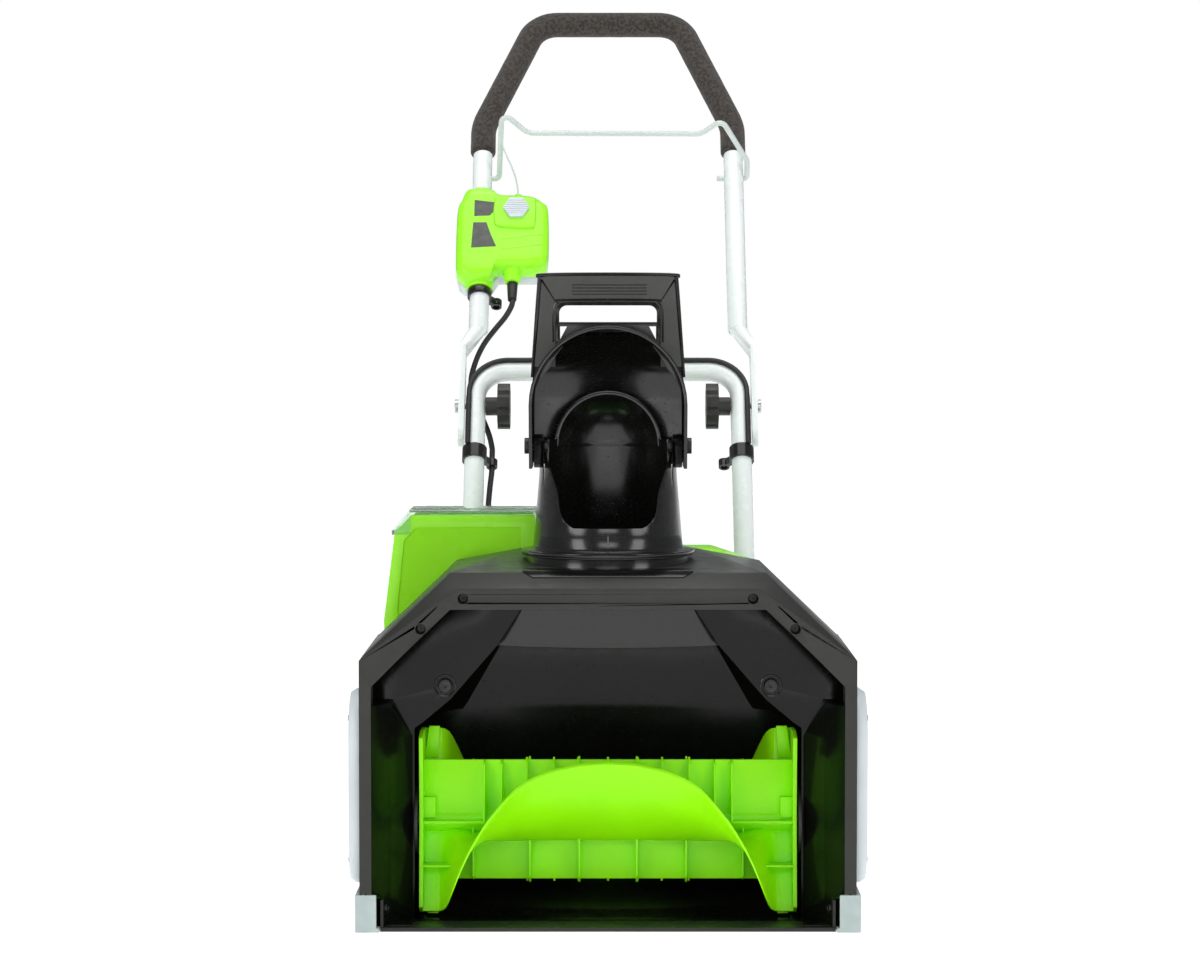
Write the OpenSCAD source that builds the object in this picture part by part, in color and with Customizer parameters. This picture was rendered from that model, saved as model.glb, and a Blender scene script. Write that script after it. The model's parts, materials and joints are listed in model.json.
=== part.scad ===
// Cordless snow shovel: a battery powered single stage snow thrower.
// X is across the machine, +Y points back to the operator, +Z is up.
// Modules draw in machine coordinates, where y is the depth behind the housing's front plane.

/* [Housing] */
// Outside width of the auger housing
housing_w = 540; // [500:1:580]
// Height of the housing's side walls
side_h = 297; // [280:1:310]
// Height of the front rim's top edge
rim_h = 375; // [360:1:385]
// Height of the top skin beside the chute
crown_h = 402; // [396:1:406]
// Depth of the main housing
housing_d = 250; // [246:1:256]
// Thickness of moulded walls
wall = 3.5; // [2.5:0.1:4]

/* [Auger] */
// Radius of the auger's flights
auger_r = 103; // [96:0.5:103.5]
// Half the auger's length
auger_half = 209; // [200:1:210]
// Depth of the auger's axis behind the front plane
auger_d = 95; // [92:1:98]
// Height of the auger's axis
auger_z = 110; // [109:0.5:112]

/* [Chute] */
// Depth of the chute's turning axis
chute_d = 150; // [148:1:154]
// Radius of the chute tube at its foot
chute_r = 84; // [80:0.5:86]
// Radius of the chute's flange
flange_r = 97.5; // [92:0.5:100]
// Height of the deflector's pivot
tilt_z = 524; // [520:1:530]

/* [Handle] */
// Radius of the handle tubes
tube_r = 12.5; // [11:0.5:13]
// Lean of the handle from vertical in degrees
lean = 35; // [33:0.5:37]
// Distance of the lower hoop's legs from the middle
leg_x = 165; // [160:1:168]
// Depth of the handle's fold pivot
fold_d = 549; // [545:1:555]
// Height of the handle's fold pivot
fold_z = 558; // [555:1:562]
// Distance from the fold pivot up to the middle of the grip bar
bar_s = 616.5; // [600:0.5:630]
// Radius of the foam grip
foam_r = 16.5; // [15:0.5:18]

/* [Wheels] */
// Radius of the wheels
wheel_r = 89; // [85:1:92]
// Depth of the wheel axle
axle_d = 400; // [395:1:410]

/* [Hidden] */
$fn = 64;

half_w = housing_w / 2;
seam_d = 30;
back_d = fold_d + bar_s * sin(lean) + foam_r;
mid_d = (back_d + min(0, auger_d - auger_r)) / 2;
gap = 0.3;

// Colours
black_gloss = [0.06, 0.06, 0.055];
black_matte = [0.17, 0.17, 0.16];
lime = [0.49, 0.9, 0.03];
box_green = [0.58, 0.93, 0.25];
white_tube = [0.91, 0.94, 0.93];
steel = [0.62, 0.63, 0.64];
pale_grey = [0.77, 0.82, 0.82];

// ---------- helpers ----------

module machine() { translate([0, -mid_d, 0]) children(); }

module both_sides() {
    children();
    mirror([1, 0, 0]) children();
}

// Outline of (depth, height) points, extruded across the machine
module across(x0, x1, points) {
    translate([x0, 0, 0]) rotate([90, 0, 90]) linear_extrude(x1 - x0) polygon(points);
}

// Outline of (x, height) points, extruded in depth
module deep(d0, d1, points) {
    translate([0, d1, 0]) rotate([90, 0, 0]) linear_extrude(d1 - d0) polygon(points);
}

// Cylinder along X about the point (d, z)
module axle(r, x0, x1, d, z) {
    translate([x0, d, z]) rotate([0, 90, 0]) cylinder(r = r, h = x1 - x0);
}

module block(x0, x1, d0, d1, z0, z1) {
    translate([x0, d0, z0]) cube([x1 - x0, d1 - d0, z1 - z0]);
}

// Handle frame: origin at the fold pivot, z along the leg, y square to the handle's plane
module on_handle() { translate([0, fold_d, fold_z]) rotate([-lean, 0, 0]) children(); }

function mirrored(half) = concat(half, [for (i = [len(half) - 1:-1:0]) [-half[i][0], half[i][1]]]);

function arc(cx, cy, r, a0, a1, n) =
    [for (i = [0:n]) [cx + r * cos(a0 + (a1 - a0) * i / n), cy + r * sin(a0 + (a1 - a0) * i / n)]];

function unit(v) = v / norm(v);

function turn_of(a, b) = atan2(a[0] * b[1] - a[1] * b[0], a * b);

// Where the bend at point i begins or ends, measured back along each leg of the path
function set_back(p, i, r) =
    (i == 0 || i == len(p) - 1) ? 0
    : r[i] * tan(abs(turn_of(unit(p[i] - p[i - 1]), unit(p[i + 1] - p[i]))) / 2);

// Round bar that follows flat points with a bend radius at each, drawn in the XZ plane
module bent_bar(p, bend, r, extra = 0) {
    last = len(p) - 1;
    rotate([90, 0, 0]) {
        for (i = [0:last - 1]) {
            u = unit(p[i + 1] - p[i]);
            a = set_back(p, i, bend) - (i == 0 ? extra : 0);
            b = set_back(p, i + 1, bend) - (i == last - 1 ? extra : 0);
            start = p[i] + u * a;
            translate([start[0], start[1], 0]) rotate([0, 0, atan2(u[1], u[0])]) rotate([0, 90, 0])
                rotate([0, 0, 90]) cylinder(r = r, h = norm(p[i + 1] - p[i]) - a - b);
        }
        for (i = [1:last - 1]) {
            u = unit(p[i] - p[i - 1]);
            v = unit(p[i + 1] - p[i]);
            turn = turn_of(u, v);
            side = turn > 0 ? 1 : -1;
            centre = p[i] - u * set_back(p, i, bend) + [-u[1], u[0]] * side * bend[i];
            from = atan2(-side * u[0], side * u[1]) + min(turn, 0);
            translate([centre[0], centre[1], 0]) rotate([0, 0, from]) rotate_extrude(angle = abs(turn))
                translate([bend[i], 0]) rotate(turn > 0 ? 180 : 0) circle(r = r);
        }
    }
}

// Points along a flat path with a bend radius at each corner, in the XZ plane
function bent_points(p, bend, n) = concat(
    [[p[0][0], 0, p[0][1]]],
    [for (i = [1:len(p) - 2])
        let (u = unit(p[i] - p[i - 1]), v = unit(p[i + 1] - p[i]), turn = turn_of(u, v), side = sign(turn),
            centre = p[i] - u * set_back(p, i, bend) + [-u[1], u[0]] * side * bend[i],
            from = atan2(-side * u[0], side * u[1]))
        for (k = [0:n])
            let (a = from + turn * k / n) [centre[0] + bend[i] * cos(a), 0, centre[1] + bend[i] * sin(a)]],
    [[p[len(p) - 1][0], 0, p[len(p) - 1][1]]]);

// Tube of n sides swept along three dimensional points, hollow where inner is given
function tangent(p, i) = unit(p[min(i + 1, len(p) - 1)] - p[max(i - 1, 0)]);
function ring_points(p, r, n, ref) = [for (i = [0:len(p) - 1])
    let (t = tangent(p, i), u = unit(cross(ref, t)), v = cross(t, u))
    for (k = [0:n - 1]) p[i] + r * (cos(360 * k / n) * u + sin(360 * k / n) * v)];
module swept(p, r, n, ref = [1, 0, 0], inner = 0) {
    m = len(p);
    e = (m - 1) * n;
    q = m * n;
    outside = [for (i = [0:m - 2], k = [0:n - 1])
        [i * n + k, i * n + (k + 1) % n, (i + 1) * n + (k + 1) % n, (i + 1) * n + k]];
    faces = inner == 0
        ? concat([[for (k = [n - 1:-1:0]) k]], outside, [[for (k = [0:n - 1]) e + k]])
        : concat(outside,
            [for (f = outside) [q + f[0], q + f[3], q + f[2], q + f[1]]],
            [for (k = [0:n - 1]) let (j = (k + 1) % n) [j, k, q + k, q + j]],
            [for (k = [0:n - 1]) let (j = (k + 1) % n) [e + k, e + j, q + e + j, q + e + k]]);
    flipped = [for (f = faces) [for (k = [len(f) - 1:-1:0]) f[k]]];
    outer_points = ring_points(p, r, n, ref);
    points = inner == 0 ? outer_points : concat(outer_points, ring_points(p, inner, n, ref));
    polyhedron(points, flipped, convexity = 8);
}

// Catmull-Rom curve through points
function spline_at(a, b, c, d, t) =
    0.5 * (2 * b + (c - a) * t + (2 * a - 5 * b + 4 * c - d) * t * t + (3 * b - a - 3 * c + d) * t * t * t);
function smooth(p, n) = concat(
    [for (i = [0:len(p) - 2], k = [0:n - 1])
        spline_at(p[max(i - 1, 0)], p[i], p[i + 1], p[min(i + 2, len(p) - 1)], k / n)],
    [p[len(p) - 1]]);

// ---------- auger housing ----------

shell_side_bottom = 5;
rim_x = 165;
rim_corner = [257, 298];
axle_hole_z = wheel_r;
motor_d = 290;
motor_z = 185;
shaft_r = 8;

function seam_outline(t) = mirrored([
    [half_w - t, t > 0 ? -1 : shell_side_bottom], [half_w - t, side_h - 0.45 * t],
    [172 - 0.4 * t, rim_h + 15 - t]]);
function back_outline(t) = mirrored([
    [half_w - t, t > 0 ? -1 : shell_side_bottom], [half_w - t, side_h - 0.45 * t],
    [175 - 0.4 * t, rim_h + 13 - t], [100, crown_h - t]]);

module shell_form(t, d0, d1) {
    hull() {
        deep(d0, d0 + 1, seam_outline(t));
        deep(d1 - 1, d1, back_outline(t));
    }
}

module outer_shell() {
    wing = [[246, 60], [246, 297], [300, 297], [350, 262], [352, 165], [325, 120], [280, 60]];
    machine() color(black_matte) difference() {
        union() {
            difference() {
                shell_form(0, seam_d, housing_d);
                shell_form(wall, seam_d - 1, housing_d - wall);
            }
            both_sides() across(half_w - wall, half_w, wing);
        }
        translate([0, chute_d, 300]) cylinder(r = chute_r + 3.5, h = 200);
        axle(shaft_r + 8, -half_w - 1, half_w + 1, auger_d, auger_z);
        axle(9, half_w - wall - 1, half_w + 1, motor_d, motor_z);
        block(-half_w - 5, half_w + 5, 0, 62, -1, 42);
    }
}

rim_inside = [[257, 42], [257, 268], [225, 300], [171, 352]];

module front_bezel() {
    rim_front = mirrored([[half_w, 42], [half_w, side_h], rim_corner, [rim_x, rim_h]]);
    rim_back = mirrored([[half_w, 42], [half_w, side_h], [172, rim_h + 15]]);
    machine() color(black_matte) difference() {
        hull() {
            deep(0, 1, rim_front);
            deep(seam_d - 1, seam_d, rim_back);
        }
        deep(-1, seam_d + 1, mirrored([[257, 20], rim_inside[1], rim_inside[2], rim_inside[3]]));
        for (x = bezel_screw_x, side = [-1, 1])
            translate([side * x[0], 0, x[1]]) rotate([-90, 0, 0]) {
                translate([0, 0, -1]) cylinder(r = 5.5, h = 17);
                cylinder(r = 2.6, h = 40);
            }
    }
}

bezel_screw_x = [[157, 364], [203, 331]];
shoulder_screw = [180, 262];
shoulder_d = 70;

module bezel_screws() {
    machine() color(steel) for (x = bezel_screw_x, side = [-1, 1])
        translate([side * x[0], 0, x[1]]) rotate([-90, 0, 0]) difference() {
            union() {
                translate([0, 0, 12]) cylinder(r = 5, h = 4);
                translate([0, 0, 16]) cylinder(r = 2.5, h = 13);
            }
            translate([0, 0, 11]) cylinder(r = 1.8, h = 3, $fn = 6);
        }
}

module shoulder_screws() {
    machine() color(steel) for (side = [-1, 1])
        translate([side * shoulder_screw[0], shoulder_d, shoulder_screw[1]]) rotate([-90, 0, 0]) difference() {
            union() {
                translate([0, 0, -3]) cylinder(r = 7, h = 3);
                cylinder(r = 3, h = 15);
            }
            translate([0, 0, -4]) cylinder(r = 2.6, h = 3.5, $fn = 6);
        }
}

// ---------- auger chamber ----------

trough_r = auger_r + 2.5;
trough_half = auger_half + 5;
skin = 3;
bell = [[214, auger_z], [214, 215], [205, 221], [174, 247], [122, 307], [94, 350]];
bell_back = auger_d + trough_r;
throat_z = 292;

module chamber_space(t) {
    axle(trough_r + t, -trough_half - t, trough_half + t, auger_d, auger_z);
    deep(shoulder_d - 15 + t, bell_back + t, mirrored([for (p = bell) [p[0] + t, p[1] + (p[1] > 300 ? t : 0)]]));
    hull() {
        block(-128 - t, 128 + t, 76 - t, bell_back + t, throat_z - 10, throat_z);
        translate([0, chute_d, crown_h - 9]) cylinder(r = chute_r - 2.5 + t, h = 1);
    }
}

module cheek() {
    floor_z = auger_z - trough_r;
    translate([0, 0, floor_z]) linear_extrude(244 - floor_z)
        polygon([[257, 2], [237, 38], [trough_half, 73], [trough_half + skin, 73], [240, 39], [260, 3.5]]);
    translate([0, 0, 244]) linear_extrude(3)
        polygon([[257, 2], [237, 38], [237, 72], [266, 72], [266, 2]]);
}

module auger_chamber() {
    floor_z = auger_z - trough_r;
    throat_side = [[trough_half + 1, 145], [trough_half + 1, bell_back + 1], [165, bell_back + 1]];
    machine() color(black_gloss) difference() {
        union() {
            difference() {
                union() {
                    chamber_space(skin - 0.5);
                    deep(shoulder_d, shoulder_d + skin, mirrored([[266, 30], [266, 292], [171, 382]]));
                }
                difference() {
                    chamber_space(0);
                    both_sides() hull() {
                        translate([0, 0, 221]) linear_extrude(0.1) polygon(throat_side);
                        translate([-75, -20, 352]) linear_extrude(0.1) polygon(throat_side);
                    }
                }
                block(-trough_half, trough_half, -30, shoulder_d + 1, -1, 200);
                block(-trough_half - 10, trough_half + 10, -30, shoulder_d, -1, 400);
                block(-trough_half, trough_half, -1, auger_d, floor_z, auger_z);
                translate([0, chute_d, crown_h - 12]) cylinder(r = chute_r - 2.5, h = 30);
            }
            block(-trough_half - skin, trough_half + skin, 46, auger_d, floor_z - 2.5, floor_z);
            both_sides() cheek();
        }
        both_sides() deep(0, shoulder_d, [[237.01, 247.1], [237.01, 241], [212, 200], [205, 200], [205, 247.1]]);
        both_sides() {
            block(256.95, 280, -1, seam_d + 0.1, -1, 400);
            block(251.95, 280, -1, 4.05, -1, 41.05);
            block(248.95, 280, -1, 62.05, -1, 4.85);
            block(244.95, 248.05, 9.95, 46.05, -1, 34.05);
            axle(5.05, 236, 245, 28, 22);
            axle(3.05, 244, 262, 28, 22);
        }
        axle(14.05, -270, 270, auger_d, auger_z);
        both_sides() translate([shoulder_screw[0], 0, shoulder_screw[1]]) rotate([-90, 0, 0])
            cylinder(r = 3.05, h = 100);
        translate([0, 0, crown_h - 8.5]) block(-150, 150, 0, 260, 0, 50);
    }
}

module auger_bearings() {
    machine() color(black_matte) both_sides() difference() {
        union() {
            axle(38, trough_half - 3.5, trough_half, auger_d, auger_z);
            axle(14, trough_half, half_w, auger_d, auger_z);
        }
        axle(shaft_r + 0.05, 200, 280, auger_d, auger_z);
    }
}

module scraper_bar() {
    machine() color(pale_grey) difference() {
        union() {
            block(-248, 248, 6, 46, 0, 4.4);
            block(-214, 214, 46, 80, 0, 1.9);
            both_sides() block(245, 248, 10, 46, 4.4, 34);
        }
        axle(3.05, -250, 250, 28, 22);
    }
}

module scraper_screws() {
    machine() color(steel) both_sides() {
        axle(5, 241.5, 245, 28, 22);
        axle(3, 245, 256, 28, 22);
    }
}

module skid_right() {
    machine() color(pale_grey) difference() {
        union() {
            block(half_w + 0.2, half_w + 5, 0, 62, 0, 41);
            block(249, half_w + 5, 0, 62, 0, 4.8);
            block(252, half_w + 5, 0, 4, 0, 41);
        }
        axle(4, 265, 280, 40, 24);
    }
}

module skid_left() { mirror([1, 0, 0]) skid_right(); }

// ---------- side covers ----------

module cover_form(t, x0, x1, tail_d) {
    hull() for (p = [[64, 97], [64, 208], [tail_d, 200], [tail_d, 120]])
        axle((p[0] == 64 ? 52 : 45) - t, x0, x1, p[0], p[1], $fn = 48);
}

module side_cover(tail_d) {
    difference() {
        hull() {
            cover_form(0, half_w, half_w + 7, tail_d);
            cover_form(4, half_w, half_w + 13, tail_d);
        }
        cover_form(5, half_w - 1, half_w + 10.5, tail_d);
    }
}

module side_cover_right() { machine() color(pale_grey) side_cover(300); }
module side_cover_left() { machine() color(pale_grey) mirror([1, 0, 0]) side_cover(160); }

// ---------- belt drive and motor ----------

belt_x = half_w + 1.5;
belt_w = 8;
auger_pulley_r = 52;
motor_pulley_r = 13;

// Closed outline at a distance t outside both pulleys
function belt_outline(t) =
    let (a = [auger_d, auger_z], b = [motor_d, motor_z], along = atan2(b[1] - a[1], b[0] - a[0]),
        wrap = acos((auger_pulley_r - motor_pulley_r) / norm(b - a)))
    concat(arc(a[0], a[1], auger_pulley_r + t, along + wrap, along + 360 - wrap, 36),
        arc(b[0], b[1], motor_pulley_r + t, along - wrap, along + wrap, 16));

module drive_belt() {
    machine() color(black_matte) difference() {
        across(belt_x, belt_x + belt_w, belt_outline(2.8));
        across(belt_x - 1, belt_x + belt_w + 1, belt_outline(gap));
    }
}

module pulley(r, bore, d, z) {
    difference() {
        axle(r, belt_x + 0.5, belt_x + belt_w - 0.5, d, z);
        axle(bore + 0.02, belt_x - 1, belt_x + belt_w + 1, d, z);
        if (r > 30) for (a = [0:60:300])
            axle(9, belt_x - 1, belt_x + belt_w + 1, d + 32 * cos(a), z + 32 * sin(a));
    }
}

module auger_pulley() { machine() color(steel) pulley(auger_pulley_r, shaft_r, auger_d, auger_z); }
module motor_pulley() { machine() color(steel) pulley(motor_pulley_r, 5, motor_d, motor_z); }
module auger_shaft() { machine() color(steel) axle(shaft_r, -half_w - 9, half_w + 10, auger_d, auger_z); }
module motor_shaft() {
    machine() color(steel) {
        axle(5, 30, half_w + 10, motor_d, motor_z);
        axle(24, 60, 128, motor_d, motor_z);
    }
}

module motor_can() {
    machine() color(steel) difference() {
        union() {
            axle(36, 36, 152, motor_d, motor_z);
            block(150, 155, motor_d - 30, motor_d + 45, 66, motor_z + 36);
            block(60, 155, motor_d - 30, motor_d + 45, 66, 70);
        }
        axle(25.5, 52, 136, motor_d, motor_z);
        axle(5.05, 28, 160, motor_d, motor_z);
    }
}

module controller() {
    machine() color(black_matte) {
        block(-140, -30, 285, 365, 66, 78);
        for (i = [0:7]) block(-138 + 14 * i, -134 + 14 * i, 288, 362, 78, 96);
    }
}

// ---------- rear body ----------

tub_half = 180;
tub_back = 455;
deck_z = 272;
deck_t = 4;
deck_top = deck_z + deck_t;
axle_r = 6;

module rear_tub() {
    machine() color(black_matte) difference() {
        across(-tub_half, tub_half, [[housing_d, 62], [housing_d, deck_z], [tub_back, deck_z],
            [tub_back, 120], [430, 62]]);
        across(-tub_half + 4, tub_half - 4, [[housing_d + 4, 66], [housing_d + 4, 300], [tub_back - 4, 300],
            [tub_back - 4, 122], [428, 66]]);
        axle(axle_r + 0.05, -200, 200, axle_d, axle_hole_z);
        axle(8, 170, 190, motor_d, motor_z);
    }
}

module deck_plate() {
    machine() color(black_matte) difference() {
        union() {
            block(-tub_half, tub_half, housing_d, tub_back, deck_z, deck_top);
            block(-262, -tub_half + 1, housing_d, 338, deck_z, deck_top);
        }
        translate([cable_hole[0], cable_hole[1], deck_z - 1]) cylinder(r = 6.55, h = 10);
        translate([-170, 300, deck_z - 1]) cylinder(r = 7, h = 10);
    }
}

cable_hole = [-150, 434];

module cable_boot() {
    machine() color(black_matte) translate([cable_hole[0], cable_hole[1], 0]) difference() {
        union() {
            translate([0, 0, deck_z - 4]) cylinder(r = 6.5, h = 8);
            translate([0, 0, deck_top]) cylinder(r1 = 9, r2 = 5.5, h = 22);
        }
        translate([0, 0, deck_z - 5]) cylinder(r = 4.2, h = 60);
    }
}

module dome(t) {
    hull() {
        block(-80 + t, 176 - t, housing_d + 1 + t, 338 - t, deck_top + (t > 0 ? -1 : 0), deck_top + 1);
        for (x = [[-62, 401], [118, 401], [158, 388]], d = [housing_d + 19, 318])
            translate([x[0], d, x[1] - 17]) sphere(r = 17 - t, $fn = 32);
        translate([166, housing_d + 19, 340]) sphere(r = 11 - t, $fn = 32);
        translate([166, 318, 340]) sphere(r = 11 - t, $fn = 32);
    }
}

module rear_cover() {
    machine() color(box_green) difference() {
        dome(0);
        dome(2.5);
        for (x = [-40:16:88]) block(x, x + 7, 325, 345, 310, 350);
    }
}

module wheel_axle() {
    machine() color(steel) axle(axle_r, -236, 236, axle_d, axle_hole_z);
}

module wheel() {
    machine() color(black_matte) translate([0, axle_d, axle_hole_z]) rotate([0, 90, 0]) difference() {
        translate([0, 0, 190]) cylinder(r = wheel_r - 13, h = 42);
        translate([0, 0, 196]) difference() {
            cylinder(r = wheel_r - 18, h = 12);
            cylinder(r = 16, h = 12);
        }
        translate([0, 0, 217]) difference() {
            cylinder(r = wheel_r - 18, h = 16);
            translate([0, 0, -1]) cylinder(r = 16, h = 20);
            for (a = [0:60:300]) rotate([0, 0, a]) translate([0, -4, -1]) cube([100, 8, 14]);
        }
        translate([0, 0, 180]) cylinder(r = axle_r + 0.05, h = 60);
    }
}

module tyre() {
    grooves = 24;
    machine() color(black_matte) translate([0, axle_d, axle_hole_z]) rotate([0, 90, 0]) difference() {
        rotate_extrude($fn = 96) polygon([[wheel_r - 13, 190], [wheel_r - 3, 190], [wheel_r, 194],
            [wheel_r, 228], [wheel_r - 3, 232], [wheel_r - 13, 232]]);
        for (i = [0:grooves - 1]) rotate([0, 0, 360 * i / grooves])
            translate([wheel_r - 3.5, -3, 202 + 8 * (i % 2)]) cube([6, 6, 32]);
    }
}

module wheel_right() { wheel(); }
module wheel_left() { mirror([1, 0, 0]) wheel(); }
module tyre_right() { tyre(); }
module tyre_left() { mirror([1, 0, 0]) tyre(); }

// ---------- battery bay ----------

box_d0 = 252;
box_d1 = 335;
box_outline = [[-85, deck_top], [-85, 440], [-228, 440], [-247, 420], [-260, 317], [-258, deck_top]];
box_inside = [[-89, deck_top + 4], [-89, 450], [-226, 450], [-243, 419], [-256, 317], [-254, deck_top + 4]];
hinge_d = 342;
hinge_z = 438;

module knuckles(r, bore, places) {
    for (x = places) difference() {
        union() {
            axle(r, x, x + 14, hinge_d, hinge_z);
            children();
        }
        axle(bore, x - 1, x + 15, hinge_d, hinge_z);
    }
}

module battery_box() {
    machine() color(box_green) {
        difference() {
            deep(box_d0, box_d1, box_outline);
            deep(box_d0 + 3.5, box_d1 - 3.5, box_inside);
            deep(box_d0 - 1, box_d0 + 1.2,
                [[-100, 300], [-100, 425], [-222, 425], [-236, 410], [-244, 330], [-240, 300]]);
        }
        for (x = [-200, -130]) difference() {
            union() {
                axle(4.5, x, x + 14, hinge_d, hinge_z);
                block(x, x + 14, box_d1 - 0.5, hinge_d, 420, hinge_z);
            }
            axle(2.05, x - 1, x + 15, hinge_d, hinge_z);
        }
    }
}

module battery_terminal() {
    machine() color(black_matte) {
        block(-200, -146, 280, 306, deck_top + 4, deck_top + 7.7);
        for (x = [-190, -176, -162]) block(x, x + 2, 284, 302, deck_top + 7.7, deck_top + 19);
    }
}

module lid_pin() { machine() color(steel) axle(2, -217, -99, hinge_d, hinge_z); }

module battery_lid() {
    outside = [[-83, 430], [-83, 445.5], [-230.5, 445.5], [-250.6, 421.5], [-250.2, 417]];
    inside = [[-70, 420], [-85.5, 420], [-85.5, 443], [-229.2, 443], [-247.6, 420.2], [-247.2, 405]];
    machine() color([0.8, 0.95, 0.85, 0.35]) {
        difference() {
            deep(box_d0 - 2.5, box_d1 + 2.5, outside);
            deep(box_d0 - 0.4, box_d1 + 0.4, inside);
            block(-229, -70, box_d0 - 4, box_d1 + 4, 400, 440.3);
            block(-260, -70, box_d1 - 3, box_d1 + 4, 400, 440.3);
        }
        for (x = [-216, -184, -146, -114]) difference() {
            union() {
                axle(4.5, x + 0.3, x + 13.7, hinge_d, hinge_z);
                block(x + 0.3, x + 13.7, box_d1 + 0.5, hinge_d, hinge_z + 2.3, 445.5);
            }
            axle(2.05, x - 1, x + 15, hinge_d, hinge_z);
        }
    }
}

pack_z0 = deck_top + 20;

module battery_pack() {
    machine() color(black_matte) difference() {
        union() {
            block(-236, -110, 258, 329, pack_z0, 404);
            block(-226, -120, 264, 323, 404, 416);
            block(-210, -136, 276, 310, deck_top + 8, pack_z0);
        }
        for (x = [-190, -176, -162]) block(x - 1, x + 3, 283, 303, deck_top + 7, deck_top + 34);
        block(-189, -157, 282, 306, 409, 417);
        block(-231, -115, 257, 259, 330, 380);
    }
}

module battery_release() {
    machine() color(lime) block(-188, -158, 283, 305, 413.3, 421);
}

// ---------- chute ----------

chute_top = tilt_z + 6;
lip_r = 75.6;

module chute_seat() {
    machine() color(black_matte) translate([0, chute_d, 0]) difference() {
        translate([0, 0, crown_h - 7.9]) cylinder(r = flange_r - 1, h = 9.6);
        translate([0, 0, crown_h - 9]) cylinder(r = chute_r - 2.5, h = 20);
        difference() {
            translate([0, 0, crown_h - 9]) cylinder(r = flange_r + 10, h = 9);
            translate([0, 0, crown_h - 10]) cylinder(r = chute_r + 3.4, h = 20);
        }
    }
}

module chute() {
    foot = crown_h + 2;
    mouth = concat([[-75, 560], [-72, tilt_z], [-56, 475]], arc(-30, 458, 24, 180, 250, 5),
        arc(30, 458, 24, 290, 360, 5), [[56, 475], [72, tilt_z], [75, 560]]);
    machine() color(black_gloss) difference() {
        union() {
            translate([0, chute_d, 0]) rotate_extrude($fn = 96) polygon([[chute_r - 2.5, foot], [flange_r, foot],
                [flange_r, foot + 4], [chute_r + 2, foot + 6], [chute_r, foot + 9], [77.5, 490], [76, chute_top],
                [73, chute_top], [74.5, 490], [chute_r - 2.8, foot + 9]]);
            both_sides() {
                block(72, 83, chute_d - 13, chute_d + 13, 500, tilt_z);
                axle(13, 72, 83, chute_d, tilt_z);
            }
            intersection() {
                translate([0, chute_d, tilt_z]) difference() {
                    sphere(r = lip_r);
                    sphere(r = lip_r - 3.2);
                }
                block(-80, 80, chute_d + 45, chute_d + 80, tilt_z - 2, tilt_z + 70);
            }
        }
        deep(0, chute_d, mouth);
        axle(4.05, -100, 100, chute_d, tilt_z);
        block(-72.2, 72.2, chute_d - 30, chute_d + 30, 470, 560);
    }
}

module deflector_bolts() {
    machine() color(black_matte) both_sides() {
        axle(4, 70, 88.3, chute_d, tilt_z);
        axle(9, 88.3, 94, chute_d, tilt_z);
        axle(6.5, 67.5, 71.5, chute_d, tilt_z, $fn = 6);
    }
}

hood_r = 88;
hood_side_z = 571;
hood_wall = 3.5;

module hood_form(t, front) {
    crown = hood_side_z + hood_r - t;
    intersection() {
        deep(front, chute_d + 82 - t, concat([[hood_r - t, 500 - (t > 0 ? 5 : 0)]],
            arc(0, hood_side_z, hood_r - t, 0, 180, 24), [[-hood_r + t, 500 - (t > 0 ? 5 : 0)]]));
        across(-100, 100, concat([[front + (t > 0 ? 0 : 18), 490], [front, hood_side_z],
            [front, crown + 1], [chute_d + 10, crown + 1]],
            arc(chute_d + 10, crown - 72, 72 - t + 0.01, 88, 0, 8), [[chute_d + 82 - t, 490]]));
    }
}

module rounded_frame(w0, w1, z0, z1, r, d0, d1) {
    deep(d0, d1, concat([[w0, z0]], arc(w1 - r, z1 - r, r, 0, 90, 6),
        arc(-w1 + r, z1 - r, r, 90, 180, 6), [[-w0, z0]]));
}

module deflector_hood() {
    loop_d0 = 203;
    loop_d1 = 236;
    machine() color(black_gloss) difference() {
        union() {
            hood_form(0, chute_d - 60);
            difference() {
                rounded_frame(hood_r, 80, 560, 719, 12, loop_d0, loop_d1);
                rounded_frame(50, 50, 561, 640, 10, loop_d0 - 1, loop_d1 + 1);
                rounded_frame(60, 60, 642, 686, 11, loop_d0 - 1, loop_d0 + 16);
                rounded_frame(56, 56, 663, 682, 9, loop_d0 - 1, loop_d1 + 1);
                both_sides() deep(loop_d0, loop_d1 + 1, [[55, 643], [55, 658], [47, 658]]);
            }
        }
        hood_form(hood_wall, chute_d - 80);
        axle(4.05, -100, 100, chute_d, tilt_z);
    }
}

// ---------- handle ----------

top_x = leg_x - 1;
bend_s = 442;
bend_lean = 21.5;
leg_end_s = -332;
hoop_s = (601 - 558) / cos(lean);
corner_x = top_x - tan(bend_lean) * (bar_s - bend_s);
hoop_path = [[-leg_x, leg_end_s], [-leg_x, hoop_s], [leg_x, hoop_s], [leg_x, leg_end_s]];
flat_s = 84;
flat_end = 43;
round_s = 114;
upper_path = [[-top_x, round_s], [-top_x, bend_s], [-corner_x, bar_s], [corner_x, bar_s],
    [top_x, bend_s], [top_x, round_s]];
upper_bend = [0, 70, 40, 40, 70, 0];
foam_s = 394;
foam_path = [[-top_x, foam_s], upper_path[1], upper_path[2], upper_path[3], upper_path[4], [top_x, foam_s]];
bail_s = 356.5;
flat_x0 = leg_x + tube_r + 1;
flat_x1 = flat_x0 + 7.5;

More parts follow.
